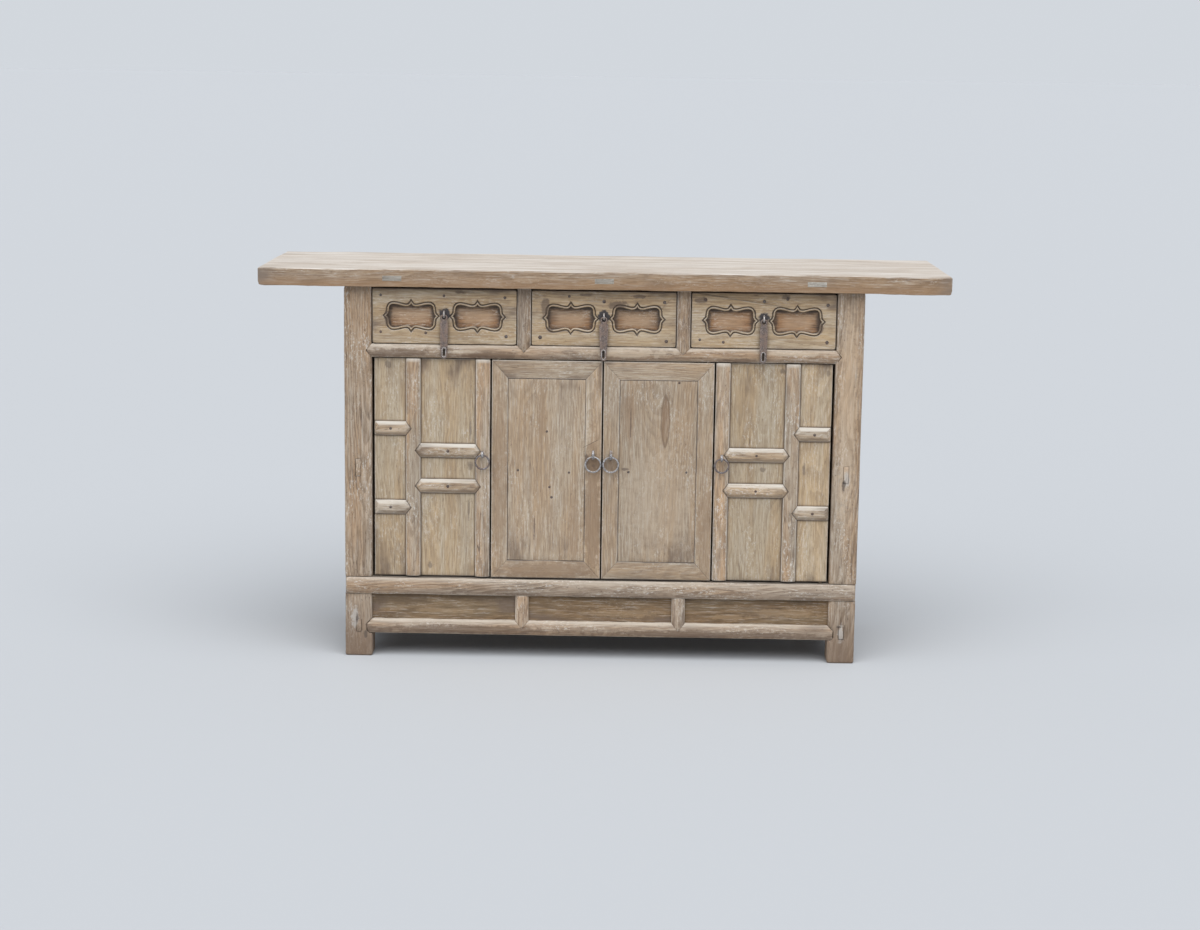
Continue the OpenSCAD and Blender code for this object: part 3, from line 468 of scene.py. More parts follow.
def edge_soil(place, grain, patches, colour):
    """The plank's edge is browner towards its lower arris, and has stains at its ends."""
    on_edge = place.axis("Y").rise(edge_fade, edge_fade - 0.001)
    low = place.axis("Z").rise(top_mid + 0.012, top_mid - 0.019) * (0.35 + 0.6 * patches.axis("Y"))
    colour = (low * on_edge).lay((0.285, 0.170, 0.090), colour)
    ends = abs(place.axis("X")).rise(end_x - 0.045, end_x) * patches.axis("Z").rise(0.35, 0.65)
    return (ends * on_edge * 0.6).lay((0.21, 0.17, 0.14), colour)


# The top's upper face is painted almost white: bleaching and painted light from above.
top_wood = old_wood("bleached elm top", (0.385, 0.290, 0.205), (0.37, 0.250, 0.150), (0.19, 0.12, 0.07),
                    ring=0.0075, figure=0.45, bleach=(0.66, 0.62, 0.57), bleached=0.71, soil=0.5, worn=0.9,
                    marks=edge_soil)


def end_weight(a, b):
    """Full under the plank's ends, and slight on their other edges."""
    outside = abs(a.x) > end_x and abs(b.x) > end_x
    under_end = max(a.z, b.z) < top_mid and a.x * b.x > 0
    return outside * (1.0 if under_end else 0.3)


top = copied("top_board")
weighted(top, end_weight)
eased(top, 0.0065, segments=3, limit="WEIGHT")
sliced(top, {"x": 0.014, "y": 0.035, "z": 0.011})
for way in "YZ":
    swelled(top, 0.0024, 0.16, way)
swelled(top, 0.0024, 0.03, level=1.0,
        group=arrises(top, lambda spot: abs(spot.x) > worn_end or abs(spot.z - top_mid) > patch_zone))
grained(top, "xyz")
stands_for(top, "top_board", [top_wood])

filler = old_wood("patch filler", (0.37, 0.345, 0.305), (0.36, 0.315, 0.26), (0.20, 0.175, 0.145),
                  ring=0.004, bleach=(0.50, 0.47, 0.43), bleached=0.1, soil=0.6, worn=0.0)
inlays = copied("edge_patches")
bpy.ops.mesh.select_all(action="SELECT")
bpy.ops.transform.translate(value=(0, -0.00025, 0))
eased(inlays, 0.0003)
sliced(inlays, {"x": 0.007, "z": 0.003})
for way in "YZ":
    swelled(inlays, 0.0024, 0.16, way)
swelled(inlays, 0.0016, 0.006, "Z")
grained(inlays, "xzy")
stands_for(inlays, "edge_patches", [filler])


# The legs: four square posts with rounded arrises, notched for the rails' points and pierced
# by the tenons of the side rails. Hard open-grained elm, streaked orange and grey.

def chosen(piece, test):
    """Selects, in edit mode, the faces that pass the test, and no others."""
    bpy.ops.object.mode_set(mode="EDIT")
    bpy.ops.mesh.select_mode(type="FACE")
    bpy.ops.mesh.select_all(action="DESELECT")
    bpy.ops.object.mode_set(mode="OBJECT")
    for face in piece.data.polygons:
        face.select = test(face)
    bpy.ops.object.mode_set(mode="EDIT")


def leg_scars(place, grain, patches, colour):
    """A paler right leg, scratches and knocks round the tenons and on the feet, and dirt on the feet."""
    colour = blots(place, colour, (0.60, 0.45, 0.31), [(0.545, 0.56, 0.026, 0.30)], 0.4)
    foot = place.axis("Z").rise(0.17, 0.02) * (0.45 + 0.6 * patches.axis("Y"))
    colour = foot.lay((0.185, 0.125, 0.085), colour)
    scraped = [(-0.553, 0.088, 0.010, 0.030), (0.545, 0.070, 0.008, 0.024), (0.547, 0.420, 0.008, 0.022)]
    colour = blots(place, colour, (0.52, 0.50, 0.47), scraped, 0.6)
    knocked = [(-0.549, 0.086, 0.004, 0.016), (0.541, 0.408, 0.005, 0.018), (0.540, 0.084, 0.007, 0.004),
               (-0.530, 0.050, 0.006, 0.012)]
    return blots(place, colour, (0.10, 0.075, 0.06), knocked, 0.8)


frame_wood = old_wood("frame elm", (0.475, 0.385, 0.295), (0.47, 0.32, 0.20), (0.205, 0.140, 0.088),
                      ring=0.0065, figure=0.7, whiting=0.65, cracks=0.9, soil=0.6, marks=leg_scars)
for leg in ("leg_front_left", "leg_front_right", "leg_back_left", "leg_back_right"):
    post = copied(leg)
    chosen(post, lambda face: face.normal.z < -0.9 and face.center.z < 0.001)
    bpy.ops.mesh.region_to_loop()
    bpy.ops.mesh.bevel(offset=0.004, segments=3, affect="EDGES")
    eased(post, 0.0009)
    sliced(post, {"z": 0.012, "x": 0.016, "y": 0.016})
    swelled(post, 0.0014, 0.09)
    swelled(post, 0.0022, 0.018, level=1.0, group=arrises(post))
    grained(post, "zxy")
    stands_for(post, leg, [frame_wood])


# The front frame: crowned crossbars whose pointed ends lap onto the legs, and short uprights
# whose points are let into the bars. The same elm, rubbed pale along the crests, and pale on top
# from bleaching and from painted light from above.

hasp_pitch = 0.35333
hasp_slot_z = 0.6965
ledge_y = -0.200
ledge_z = 0.179
# Colour of painted shade for the gap under the doors, on the ledge and the doors' lower edges.
gap_shade_brown = (0.060, 0.045, 0.036)


def rail_marks_and_shade(place, grain, patches, colour):
    """Darker patches along the lower halves of the drawer rail and the stretcher, pale rubs on the
    drawer rail, painted shade on the ledge in front of the doors for the shadow of the gap under
    them, and near-black spots behind the slots of the hasps: rust and holes, and painted shade
    inside the slots."""
    # Near-black spots behind the hasps' slots: rust and holes, and painted shade inside the slots.
    slot_rust_and_shade = [(way * hasp_pitch, hasp_slot_z, 0.0042, 0.0125) for way in (-1, 0, 1)]
    # Darker patches along the lower halves of the drawer rail and the stretcher.
    darkened = [(-0.46, 0.693, 0.09, 0.012), (-0.25, 0.690, 0.09, 0.010), (0.30, 0.687, 0.06, 0.006),
              (-0.30, 0.064, 0.25, 0.013), (0.25, 0.062, 0.35, 0.011)]
    rubs = [(-0.315, 0.697, 0.040, 0.004), (0.060, 0.699, 0.13, 0.012), (0.42, 0.703, 0.08, 0.007)]
    colour = blots(place, colour, (0.14, 0.088, 0.056), darkened, 0.6)
    colour = blots(place, colour, (0.57, 0.475, 0.365), rubs, 0.5)
    # Painted shade on the ledge in front of the doors, for the shadow of the gap under them.
    ledge = place.axis("Y").rise(ledge_y, ledge_y + 0.003) * place.axis("Z").rise(ledge_z, ledge_z + 0.003)
    colour = (ledge * place.axis("Z").rise(0.20, 0.19) * 0.8).lay(gap_shade_brown, colour)
    return blots(place, colour, (0.045, 0.035, 0.030), slot_rust_and_shade, 0.95)


crowned_wood = old_wood("crowned elm", (0.44, 0.355, 0.275), (0.43, 0.290, 0.180), (0.180, 0.122, 0.080),
                        ring=0.0055, figure=0.65, whiting=0.6, cracks=0.9, soil=0.8,
                        bleach=(0.60, 0.53, 0.445), bleached=0.9, crown=0.0045, marks=rail_marks_and_shade)
post_wood = old_wood("grey post elm", (0.335, 0.265, 0.200), (0.335, 0.232, 0.147), (0.150, 0.105, 0.075),
                     ring=0.0055, figure=0.5, whiting=0.3, cracks=0.9, soil=0.9, bleached=0.8, crown=0.0045)


def dressed(node, wood, axes, cuts, warp=None, ease=0.0, merge=0.00001):
    """Copies a frame piece, eases its arrises, cuts its faces, warps it, and gives it its grain and
    wood. Warp holds what swelled takes."""
    piece = copied(node, merge)
    if ease:
        eased(piece, ease)
    sliced(piece, cuts)
    if warp:
        swelled(piece, *warp)
    grained(piece, axes)
    stands_for(piece, node, [wood])


for bar in ("drawer_rail", "bottom_rail", "front_stretcher"):
    rail = copied(bar, merge=0.0005)
    eased(rail, 0.0006)
    sliced(rail, {"x": 0.012})
    swelled(rail, 0.0016, 0.11)
    swelled(rail, 0.0020, 0.02, level=1.0, group=arrises(rail))
    grained(rail, "xzy")
    stands_for(rail, bar, [crowned_wood])
for uprights, wood in (("drawer_posts", post_wood), ("apron_struts", crowned_wood)):
    dressed(uprights, wood, "zxy", {"z": 0.010}, warp=(0.0008, 0.05), ease=0.0006, merge=0.0005)


# The apron: three thin boards in grooves between the bottom rail, the stretcher and the
# struts. They stay in the shade and are browner than the frame.

def apron_light_and_shade(place, grain, patches, colour):
    """Painted light and shade: paler wood along the boards' lower halves, and darker patches along
    their upper edges under the bottom rail, most of them on the left.
    """
    # Painted light: paler along the boards' lower halves.
    paler = [(0.05, 0.105, 0.11, 0.010), (0.42, 0.112, 0.10, 0.012), (0.30, 0.100, 0.06, 0.008),
             (-0.35, 0.106, 0.09, 0.006)]
    colour = blots(place, colour, (0.38, 0.265, 0.155), paler, 0.4)
    # Painted shade: darker along the boards' upper edges, under the bottom rail.
    shaded_along_top = [(-0.45, 0.133, 0.09, 0.020), (-0.29, 0.140, 0.10, 0.012), (0.02, 0.143, 0.13, 0.007),
               (0.46, 0.140, 0.05, 0.010)]
    return blots(place, colour, (0.13, 0.090, 0.056), shaded_along_top, 0.6)


apron_wood = old_wood("apron board", (0.265, 0.185, 0.108), (0.255, 0.160, 0.082), (0.110, 0.072, 0.041),
                      ring=0.008, figure=0.5, streaky=0.25, whiting=0.15, soil=1.1, bleached=0.2,
                      marks=apron_light_and_shade)
dressed("apron_panels", apron_wood, "xzy", {"x": 0.02, "z": 0.02}, warp=(0.0006, 0.08))


# The sides: four rails tenoned into the legs at each end, with thin upright boards in grooves
# between them. The through tenons of two of the rails show on the faces of the legs.

board_wood = old_wood("door board elm", (0.435, 0.355, 0.265), (0.455, 0.330, 0.205), (0.235, 0.170, 0.110),
                      ring=0.005, figure=0.45, cracks=0.45, soil=0.6)
dressed("side_rails", frame_wood, "yzx", {"y": 0.014}, warp=(0.0010, 0.09), ease=0.0009)
dressed("side_panels", board_wood, "zyx", {"y": 0.02, "z": 0.02}, warp=(0.0008, 0.09))


# The back and the inside: sawn pine that was never finished, brown with age. Rails and upright
# boards, butted tightly, close the back; inside lie a floor, a shelf, a hidden rail and runners.

inside_wood = old_wood("unfinished pine", (0.315, 0.230, 0.150), (0.285, 0.185, 0.105), (0.135, 0.088, 0.055),
                       figure=0.7, streaky=0.3, whiting=0.12, soil=0.7, bleached=0.15, worn=0.1)
outwards = (0.0008, 0.06, "NORMAL", 0.0)
for timber, axes, warp in (
        ("back_rails", "", None), ("back_boards", "zxy", outwards), ("cupboard_floor", "", None),
        ("shelf", "", None), ("front_top_rail", "", None), ("drawer_runners", "", None)):
    dressed(timber, inside_wood, axes, {"x": 0.05, "z": 0.05}, warp=warp, ease=0.0008)


# Each drawer: a pierced front with a rounded bead and a dark groove round each opening, a
# reddish board behind the openings, and a plain box that slides on wooden runners.

groove_depth = 0.002
bead_lift = 0.0008
staple_up = 0.006
corner_round = 0.0045
front_border = 0.006
through_front = 0.011
half_front = (0.16007, 0.06145)
opening_x = 0.0735


def staple_stain_and_shade(place, grain, patches, colour):
    """Dark rust round the staple in the middle of a drawer front, a brown smear under the hasp,
    painted shade along the border for the gaps round the front, a painted shadow of the top along
    the upper edge, and old stains here and there."""
    old_stains = [(-0.480, 0.770, 0.010, 0.020), (-0.318, 0.830, 0.014, 0.006), (-0.130, 0.800, 0.014, 0.026),
                  (-0.118, 0.752, 0.010, 0.010), (0.030, 0.806, 0.030, 0.010), (0.080, 0.826, 0.022, 0.005),
                  (-0.040, 0.828, 0.020, 0.004), (0.215, 0.820, 0.018, 0.008), (0.478, 0.762, 0.012, 0.016),
                  (0.400, 0.829, 0.012, 0.007)]
    colour = blots(place, colour, (0.14, 0.100, 0.075), old_stains, 0.75)
    # Painted shade along the border of the front, for the gaps round it.
    border = (half_front[0] - abs(grain.axis("X"))).least(half_front[1] - abs(grain.axis("Y")))
    colour = (border.rise(0.0022, 0.0006) * 0.65).lay((0.095, 0.065, 0.045), colour)
    # Painted shadow of the top along the front's upper edge.
    top_shade = grain.axis("Y").rise(half_front[1] - 0.006, half_front[1]) * 0.5
    colour = top_shade.lay((0.13, 0.095, 0.070), colour)
    aside = abs(grain.axis("X"))
    up = grain.axis("Y") - staple_up
    uneven = 0.55 + 0.9 * patches.axis("X")
    smear = aside.rise(0.016, 0.007) * up.rise(0.010, -0.010) * 0.45
    colour = (smear * uneven).lay((0.15, 0.105, 0.078), colour)
    ragged = (place.noise((0.014, 0.014, 0.014), (7, 2, 5), 4.0, 0.7) - 0.5) * 0.022
    stain = (apart(aside, up) + ragged).rise(0.0150, 0.0095)
    return (stain * uneven * 1.2).least(0.95).lay((0.042, 0.040, 0.046), colour)


def inside_border(spot, low, high):
    """Whether the spot is away from the outer edges of a drawer front between those corners."""
    return all(low[i] + front_border < spot[i] < high[i] - front_border for i in (0, 2))


def recess_shade(place, grain, patches, colour):
    """Painted shade on the backing in the corners of the openings, where their edges shade it, and
    pale where it is rubbed.
    """
    aside = abs(abs(grain.axis("X")) - opening_x)
    up = grain.axis("Y") - 0.0008
    rubbed = aside.rise(0.042, 0.020) * abs(up + 0.004).rise(0.022, 0.006)
    colour = (rubbed * (0.15 + 0.7 * patches.axis("Z"))).lay((0.50, 0.35, 0.225), colour)
    ragged = (place.noise((0.012, 0.012, 0.012), (1, 8, 3), 4.0, 0.7) - 0.5) * 0.9
    # Painted shade: darker towards the sides, top and foot of each opening.
    corners = aside.rise(0.032, 0.056).most(up.rise(0.009, 0.026)).most(up.rise(-0.014, -0.030) * 0.8)
    darkened = (corners + ragged * corners.rise(0.0, 0.4)).rise(0.15, 0.85)
    return (darkened * (0.5 + 0.7 * patches.axis("Y"))).least(0.9).lay((0.080, 0.062, 0.052), colour)


# The drawer fronts' edges take strong painted shade where they face the gaps round them.
drawer_wood = old_wood("drawer front elm", (0.475, 0.380, 0.265), (0.455, 0.325, 0.190),
                       (0.255, 0.175, 0.105), figure=0.5, streaky=0.35, whiting=0.3, soil=0.8,
                       bleached=0.4, worn=0.2, gap_shading=0.85, marks=staple_stain_and_shade)
# The bead is pale: rubbed wood and a painted highlight along its crest.
bead_rubbed_and_lit = old_wood("rubbed bead", (0.76, 0.68, 0.57), (0.70, 0.60, 0.47), (0.45, 0.35, 0.25),
                     figure=0.2, streaky=0.2, cracks=0.2, soil=0.3, bleached=0.4)
# The grooves and the openings' inner walls are very dark: dirt and painted shade in the recesses.
groove_dirt_and_shade = old_wood("dark groove", (0.125, 0.090, 0.064), (0.175, 0.125, 0.085), (0.040, 0.030, 0.024),
                       whiting=0.25, bleached=0.1, worn=0.0)
red_wood = old_wood("reddish backing", (0.395, 0.270, 0.170), (0.390, 0.215, 0.105), (0.170, 0.095, 0.055),
                    ring=0.0045, streaky=0.25, whiting=0.5, cracks=0.7, soil=0.8, bleached=0.2,
                    marks=recess_shade)
for side in ("left", "middle", "right"):
    front = copied(f"drawer_{side}_front")
    low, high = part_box(f"drawer_{side}_front")
    weighted(front, lambda a, b: float(
        min(a.x - low[0], high[0] - a.x) < 0.0001 and abs(a.y - b.y) > through_front))
    eased(front, corner_round, segments=3, limit="WEIGHT")
    corners = front.data.vertices
    opening = {corner for edge in front.data.edge_keys for corner in edge
               if abs(corners[edge[0]].co.y - corners[edge[1]].co.y) > through_front
               and inside_border(corners[corner].co, low, high)}
    bead = {face.index for face in front.data.polygons
            if face.normal.y < -0.9 and opening.intersection(face.vertices)}
    # Groove floors and opening walls take the dark groove wood: dirt and painted shade.
    for face in front.data.polygons:
        floor_face = face.normal.y < -0.9 and face.center.y > low[1] + groove_depth / 2
        wall = abs(face.normal.y) < 0.1 and inside_border(face.center, low, high)
        face.material_index = 1 if face.index in bead else 2 if floor_face or wall else 0
    chosen(front, lambda face: face.material_index == 1)
    bpy.ops.transform.translate(value=(0, -bead_lift, 0))
    bpy.ops.mesh.region_to_loop()
    bpy.ops.mesh.bevel(offset=0.0013, segments=3, affect="EDGES", clamp_overlap=False, material=1)
    eased(front, 0.0008, angle=50)
    sliced(front, {"x": 0.016, "z": 0.012})
    swelled(front, 0.0010, 0.02, level=1.0, group=arrises(front))
    grained(front, "xzy")
    stands_for(front, f"drawer_{side}_front", [drawer_wood, bead_rubbed_and_lit, groove_dirt_and_shade])
    dressed(f"drawer_{side}_backing", red_wood, "xzy", {"x": 0.02, "z": 0.02}, warp=(0.0004, 0.06))
    dressed(f"drawer_{side}_box", inside_wood, "", {"y": 0.05}, ease=0.0005)


# The nails: hand-cut, with small domed heads, in the corners of the drawer fronts, in the
# middle of each bar and here and there in the centre doors' panels. Old iron, nearly black.

def iron(name, pale, dark, rust, shine=0.55, rusted=(0.40, 0.62)):
    """Old forged iron: a dark skin, paler where it is rubbed, and rust in patches."""
    material = bpy.data.materials.new(name)
    material.use_nodes = True
    tree = material.node_tree
    shader = tree.nodes["Principled BSDF"]
    metal = Wire(tree)
    place = metal.node("TexCoord", {}, {}, "Object")
    blotches = place.noise((0.009, 0.009, 0.012), (3, 1, 2), 4.0, 0.65)
    grit = place.noise((0.0022, 0.0022, 0.0022), (0, 5, 1), 3.0, 0.6)
    rusty = blotches.rise(*rusted)
    colour = grit.rise(0.42, 0.60).lay(pale, dark)
    colour = (rusty * 0.85).lay(rust, colour)
    tree.links.new(colour.socket, shader.inputs["Base Color"])
    metallic = shine * (1.0 - 0.8 * rusty)
    tree.links.new(metallic.socket, shader.inputs["Metallic"])
    tree.links.new((0.42 + 0.3 * rusty + 0.1 * grit).socket, shader.inputs["Roughness"])
    bump = metal.node("Bump", {}, {"Height": blotches + 0.5 * grit, "Strength": 0.6, "Distance": 0.0004})
    tree.links.new(bump.socket, shader.inputs["Normal"])
    return material


nail_iron = iron("nail iron", (0.19, 0.165, 0.15), (0.05, 0.045, 0.045), (0.12, 0.075, 0.055))
nail_size = 0.0045
head_seed = random.Random(4)


def nailed(name, body, face_y, spots, size=1.0):
    """Domed nail heads in a face at those places, x and z, as one piece on that body. Size is
    against the nails of the drawers."""
    bpy.ops.object.select_all(action="DESELECT")
    turned = (math.pi / 2, 0, 0)
    bpy.ops.mesh.primitive_uv_sphere_add(segments=12, ring_count=8, radius=nail_size, rotation=turned)
    bpy.ops.object.transform_apply()
    head = bpy.context.object
    bpy.ops.object.mode_set(mode="EDIT")
    bpy.ops.transform.resize(value=(1, 0.40, 1))
    bpy.ops.object.mode_set(mode="OBJECT")
    swelled(head, 0.0008, 0.0035)
    for x, z in spots:
        each = head.copy()
        each.data = head.data.copy()
        bpy.context.scene.collection.objects.link(each)
        turned = Matrix.Rotation(head_seed.uniform(0, 6), 4, "Y")
        sized = Matrix.Scale(size * head_seed.uniform(0.80, 1.05), 4)
        each.matrix_world = Matrix.Translation((x, face_y, z)) @ turned @ sized
        each.select_set(True)
    bpy.data.objects.remove(head)
    bpy.context.view_layer.objects.active = each
    bpy.ops.object.join()
    bpy.ops.object.transform_apply()
    nails = bpy.context.object
    nails.name = name
    nails.data.materials.append(nail_iron)
    bpy.ops.object.shade_smooth()
    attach(nails, body)


drawer_nails = {
    "left": [(-0.141, 0.046), (-0.141, -0.036), (0.134, 0.0435), (0.137, -0.0425), (-0.001, 0.046),
             (-0.041, -0.037)],
    "middle": [(-0.077, 0.049), (0.0, 0.0385), (-0.141, -0.043), (0.1385, -0.048), (0.1336, 0.0385)],
    "right": [(-0.130, 0.046), (0.0, 0.044), (0.1406, 0.038), (0.0515, 0.050), (-0.1406, -0.043),
              (0.1406, -0.045), (-0.0886, -0.0477)]}
for side, spots in drawer_nails.items():
    low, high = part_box(f"drawer_{side}_front")
    middle = ((low[0] + high[0]) / 2, (low[2] + high[2]) / 2)
    places = [(middle[0] + x, middle[1] + z) for x, z in spots]
    nailed(f"drawer_{side}_nails", f"drawer_{side}", low[1], places)


# Each outer door: two upright boards with crowned stiles and pointed bars nailed over them, and
# a batten and ledges nailed behind. It turns on wooden pivots of the outer board.

door_mid = 0.433
door_foot = 0.186
door_top = 0.680
boards_front = -0.1815
stile_edges = (0.283, 0.4065, 0.4385)
stile_middle = (stile_edges[1] + stile_edges[2]) / 2
long_bars = (door_mid - 0.0403, door_mid + 0.0403)
short_bars = (door_mid - 0.0895, door_mid + 0.0895)
bar_nails = ((0.3448, long_bars), (0.473, short_bars))
half_bar = 0.0155
point = 0.012


def shaded_foot(up, colour, reach, strength):
    """Painted shade along a door's lower edge, as far up as reach, for the shadow of the gap below."""
    return (up.rise(door_foot + reach, door_foot + 0.0008) * strength).lay(gap_shade_brown, colour)


def dirt_and_shade_round_bars(place, grain, patches, colour):
    """Dirt, where no cloth reaches, and painted shade in the corners between the boards and the
    stiles and bars, a few old stains, and painted shade along the lower edge for the gap under the
    door."""
    aside = abs(place.axis("X"))
    up = place.axis("Z")
    outer = aside.rise(stile_middle - 0.0001, stile_middle + 0.0001)
    by_long = abs(gap_to(up, long_bars) - half_bar) + outer
    by_short = abs(gap_to(up, short_bars) - half_bar) + (1 - outer)
    corner = gap_to(aside, stile_edges).least(by_long).least(by_short)
    # Dirt and painted shade in the corners by the stiles and bars.
    soil = corner.rise(0.0060, 0.0) * (0.25 + 0.75 * patches.axis("X"))
    soil = soil + corner.rise(0.0014, 0.0004) * 0.5
    on_front = place.axis("Y").rise(boards_front + 0.0025, boards_front)
    colour = (soil.least(0.9) * on_front).lay((0.105, 0.075, 0.055), colour)
    stains = [(-0.295, 0.4386, 0.010, 0.014), (-0.480, 0.666, 0.008, 0.010), (-0.295, 0.520, 0.004, 0.020),
              (-0.298, 0.340, 0.003, 0.030), (-0.385, 0.212, 0.007, 0.010), (0.360, 0.440, 0.008, 0.006),
              (0.398, 0.664, 0.008, 0.008), (0.452, 0.440, 0.004, 0.016), (0.500, 0.660, 0.006, 0.010)]
    colour = blots(place, colour, (0.15, 0.115, 0.09), stains, 0.6)
    return shaded_foot(up, colour, 0.003, 0.7)


def joints_and_light(place, grain, patches, colour):
    """Dark joints round the bars' points, a painted highlight along the top of the stiles, and
    painted shade along their foot for the gap under the door.
    """
    aside = abs(place.axis("X"))
    up = place.axis("Z")
    inner, outer, edge = stile_edges
    over_long = (aside - outer).most(inner - aside) / point
    over_short = (edge - aside) / point
    long_point = abs(over_long + gap_to(up, long_bars) / half_bar - 1)
    short_point = abs(over_short + gap_to(up, short_bars) / half_bar - 1)
    joints = long_point.least(short_point).rise(0.11, 0.03) * (0.4 + 0.7 * patches.axis("X"))
    colour = joints.lay((0.09, 0.065, 0.05), colour)
    # Painted highlight: the top of each stile is painted pale where it catches the light.
    lit_tops = up.rise(door_top - 0.010, door_top - 0.003) * 0.6
    colour = lit_tops.lay((0.62, 0.57, 0.50), colour)
    return shaded_foot(up, colour, 0.0025, 0.6)


outer_wood = old_wood("outer door elm", (0.480, 0.395, 0.285), (0.470, 0.345, 0.212), (0.270, 0.192, 0.120),
                      ring=0.005, figure=0.45, streaky=0.15, whiting=0.4, soil=0.8, marks=dirt_and_shade_round_bars)
raised = {"ring": 0.0055, "whiting": 0.75, "cracks": 0.8, "soil": 0.6, "bleached": 0.95, "crown": 0.0045,
          "worn": 0.6, "marks": joints_and_light}
door_wood = old_wood("crowned door elm", (0.475, 0.395, 0.305), (0.49, 0.330, 0.200), (0.215, 0.150, 0.10),
                     **raised)
bar_wood = old_wood("door bar elm", (0.540, 0.455, 0.360), (0.510, 0.370, 0.240), (0.240, 0.170, 0.11),
                    **raised)
bar_bevel = 0.0080
bar_rise = 0.0045


def faceted_bar(outline, way, back_y, front_y):
    """A bar of that outline, x and z round it, with a flat front and bevelled edges. Way mirrors it."""
    bpy.ops.mesh.primitive_circle_add(vertices=len(outline), fill_type="NGON", rotation=(math.pi / 2, 0, 0))
    bpy.ops.object.transform_apply()
    bar = bpy.context.object
    bar.name = "faceted bar"
    for corner, (x, z) in zip(bar.data.polygons[0].vertices, outline[::way]):
        bar.data.vertices[corner].co = (way * x, back_y, z)
    bpy.ops.object.mode_set(mode="EDIT")
    bpy.ops.mesh.select_all(action="SELECT")
    side_height = back_y - front_y - bar_rise
    bpy.ops.mesh.extrude_region_move(TRANSFORM_OT_translate={"value": (0, -side_height, 0)})
    bpy.ops.mesh.inset(thickness=bar_bevel, depth=bar_rise)
    bpy.ops.mesh.select_all(action="SELECT")
    bpy.ops.mesh.normals_make_consistent(inside=False)
    bpy.ops.object.mode_set(mode="OBJECT")


for side in ("left", "right"):
    dressed(f"outer_door_{side}_boards", outer_wood, "zxy", {"x": 0.02, "z": 0.02},
            warp=(0.0008, 0.09), ease=0.0006)
    dressed(f"outer_door_{side}_stiles", door_wood, "zxy", {"z": 0.012},
            warp=(0.0010, 0.06), ease=0.0006, merge=0.0004)
    low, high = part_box(f"outer_door_{side}_bars")
    way = 1 if side == "right" else -1
    free_end = max(abs(low[0]), abs(high[0]))
    inner, outer, edge = stile_edges
    bpy.ops.object.select_all(action="DESELECT")
    for middle in long_bars:
        faceted_bar([(inner - point, middle), (inner, middle - half_bar), (outer, middle - half_bar),
                     (outer + point, middle), (outer, middle + half_bar), (inner, middle + half_bar)],
                    way, high[1], low[1])
    for middle in short_bars:
        faceted_bar([(edge - point, middle), (edge, middle - half_bar), (free_end, middle - half_bar),
                     (free_end, middle + half_bar), (edge, middle + half_bar)], way, high[1], low[1])
    bpy.ops.object.select_pattern(pattern="faceted bar*", extend=False)
    bpy.ops.object.join()
    bars = bpy.context.object
    bars.name = f"outer_door_{side}_bars_worn"
    eased(bars, 0.0009, angle=20)
    sliced(bars, {"x": 0.010})
    swelled(bars, 0.0010, 0.03)
    grained(bars, "xzy")
    stands_for(bars, f"outer_door_{side}_bars", [bar_wood])
    dressed(f"outer_door_{side}_back_frame", inside_wood, "", {"x": 0.04, "z": 0.04}, ease=0.0008)
    nailed(f"outer_door_{side}_nails", f"outer_door_{side}", low[1],
           [(way * x, z) for x, heights in bar_nails for z in heights], size=0.8)


# Each centre door: a frame mitred at the corners, with a panel almost flush in its grooves. It
# turns on wooden pivots of the stile beside the outer door.

frame_w = 0.036
frame_h = 0.0405
door_edges = (0.0018, 0.247)
door_ends = (door_foot, door_top)
knock_x = 0.0198
knock_z = 0.449
knot_at = (0.140, 0.550)
knot_size = (0.0100, 0.060)
crack_start = (-0.0427, 0.486)
crack_slope = 0.535
crack_run = 0.034


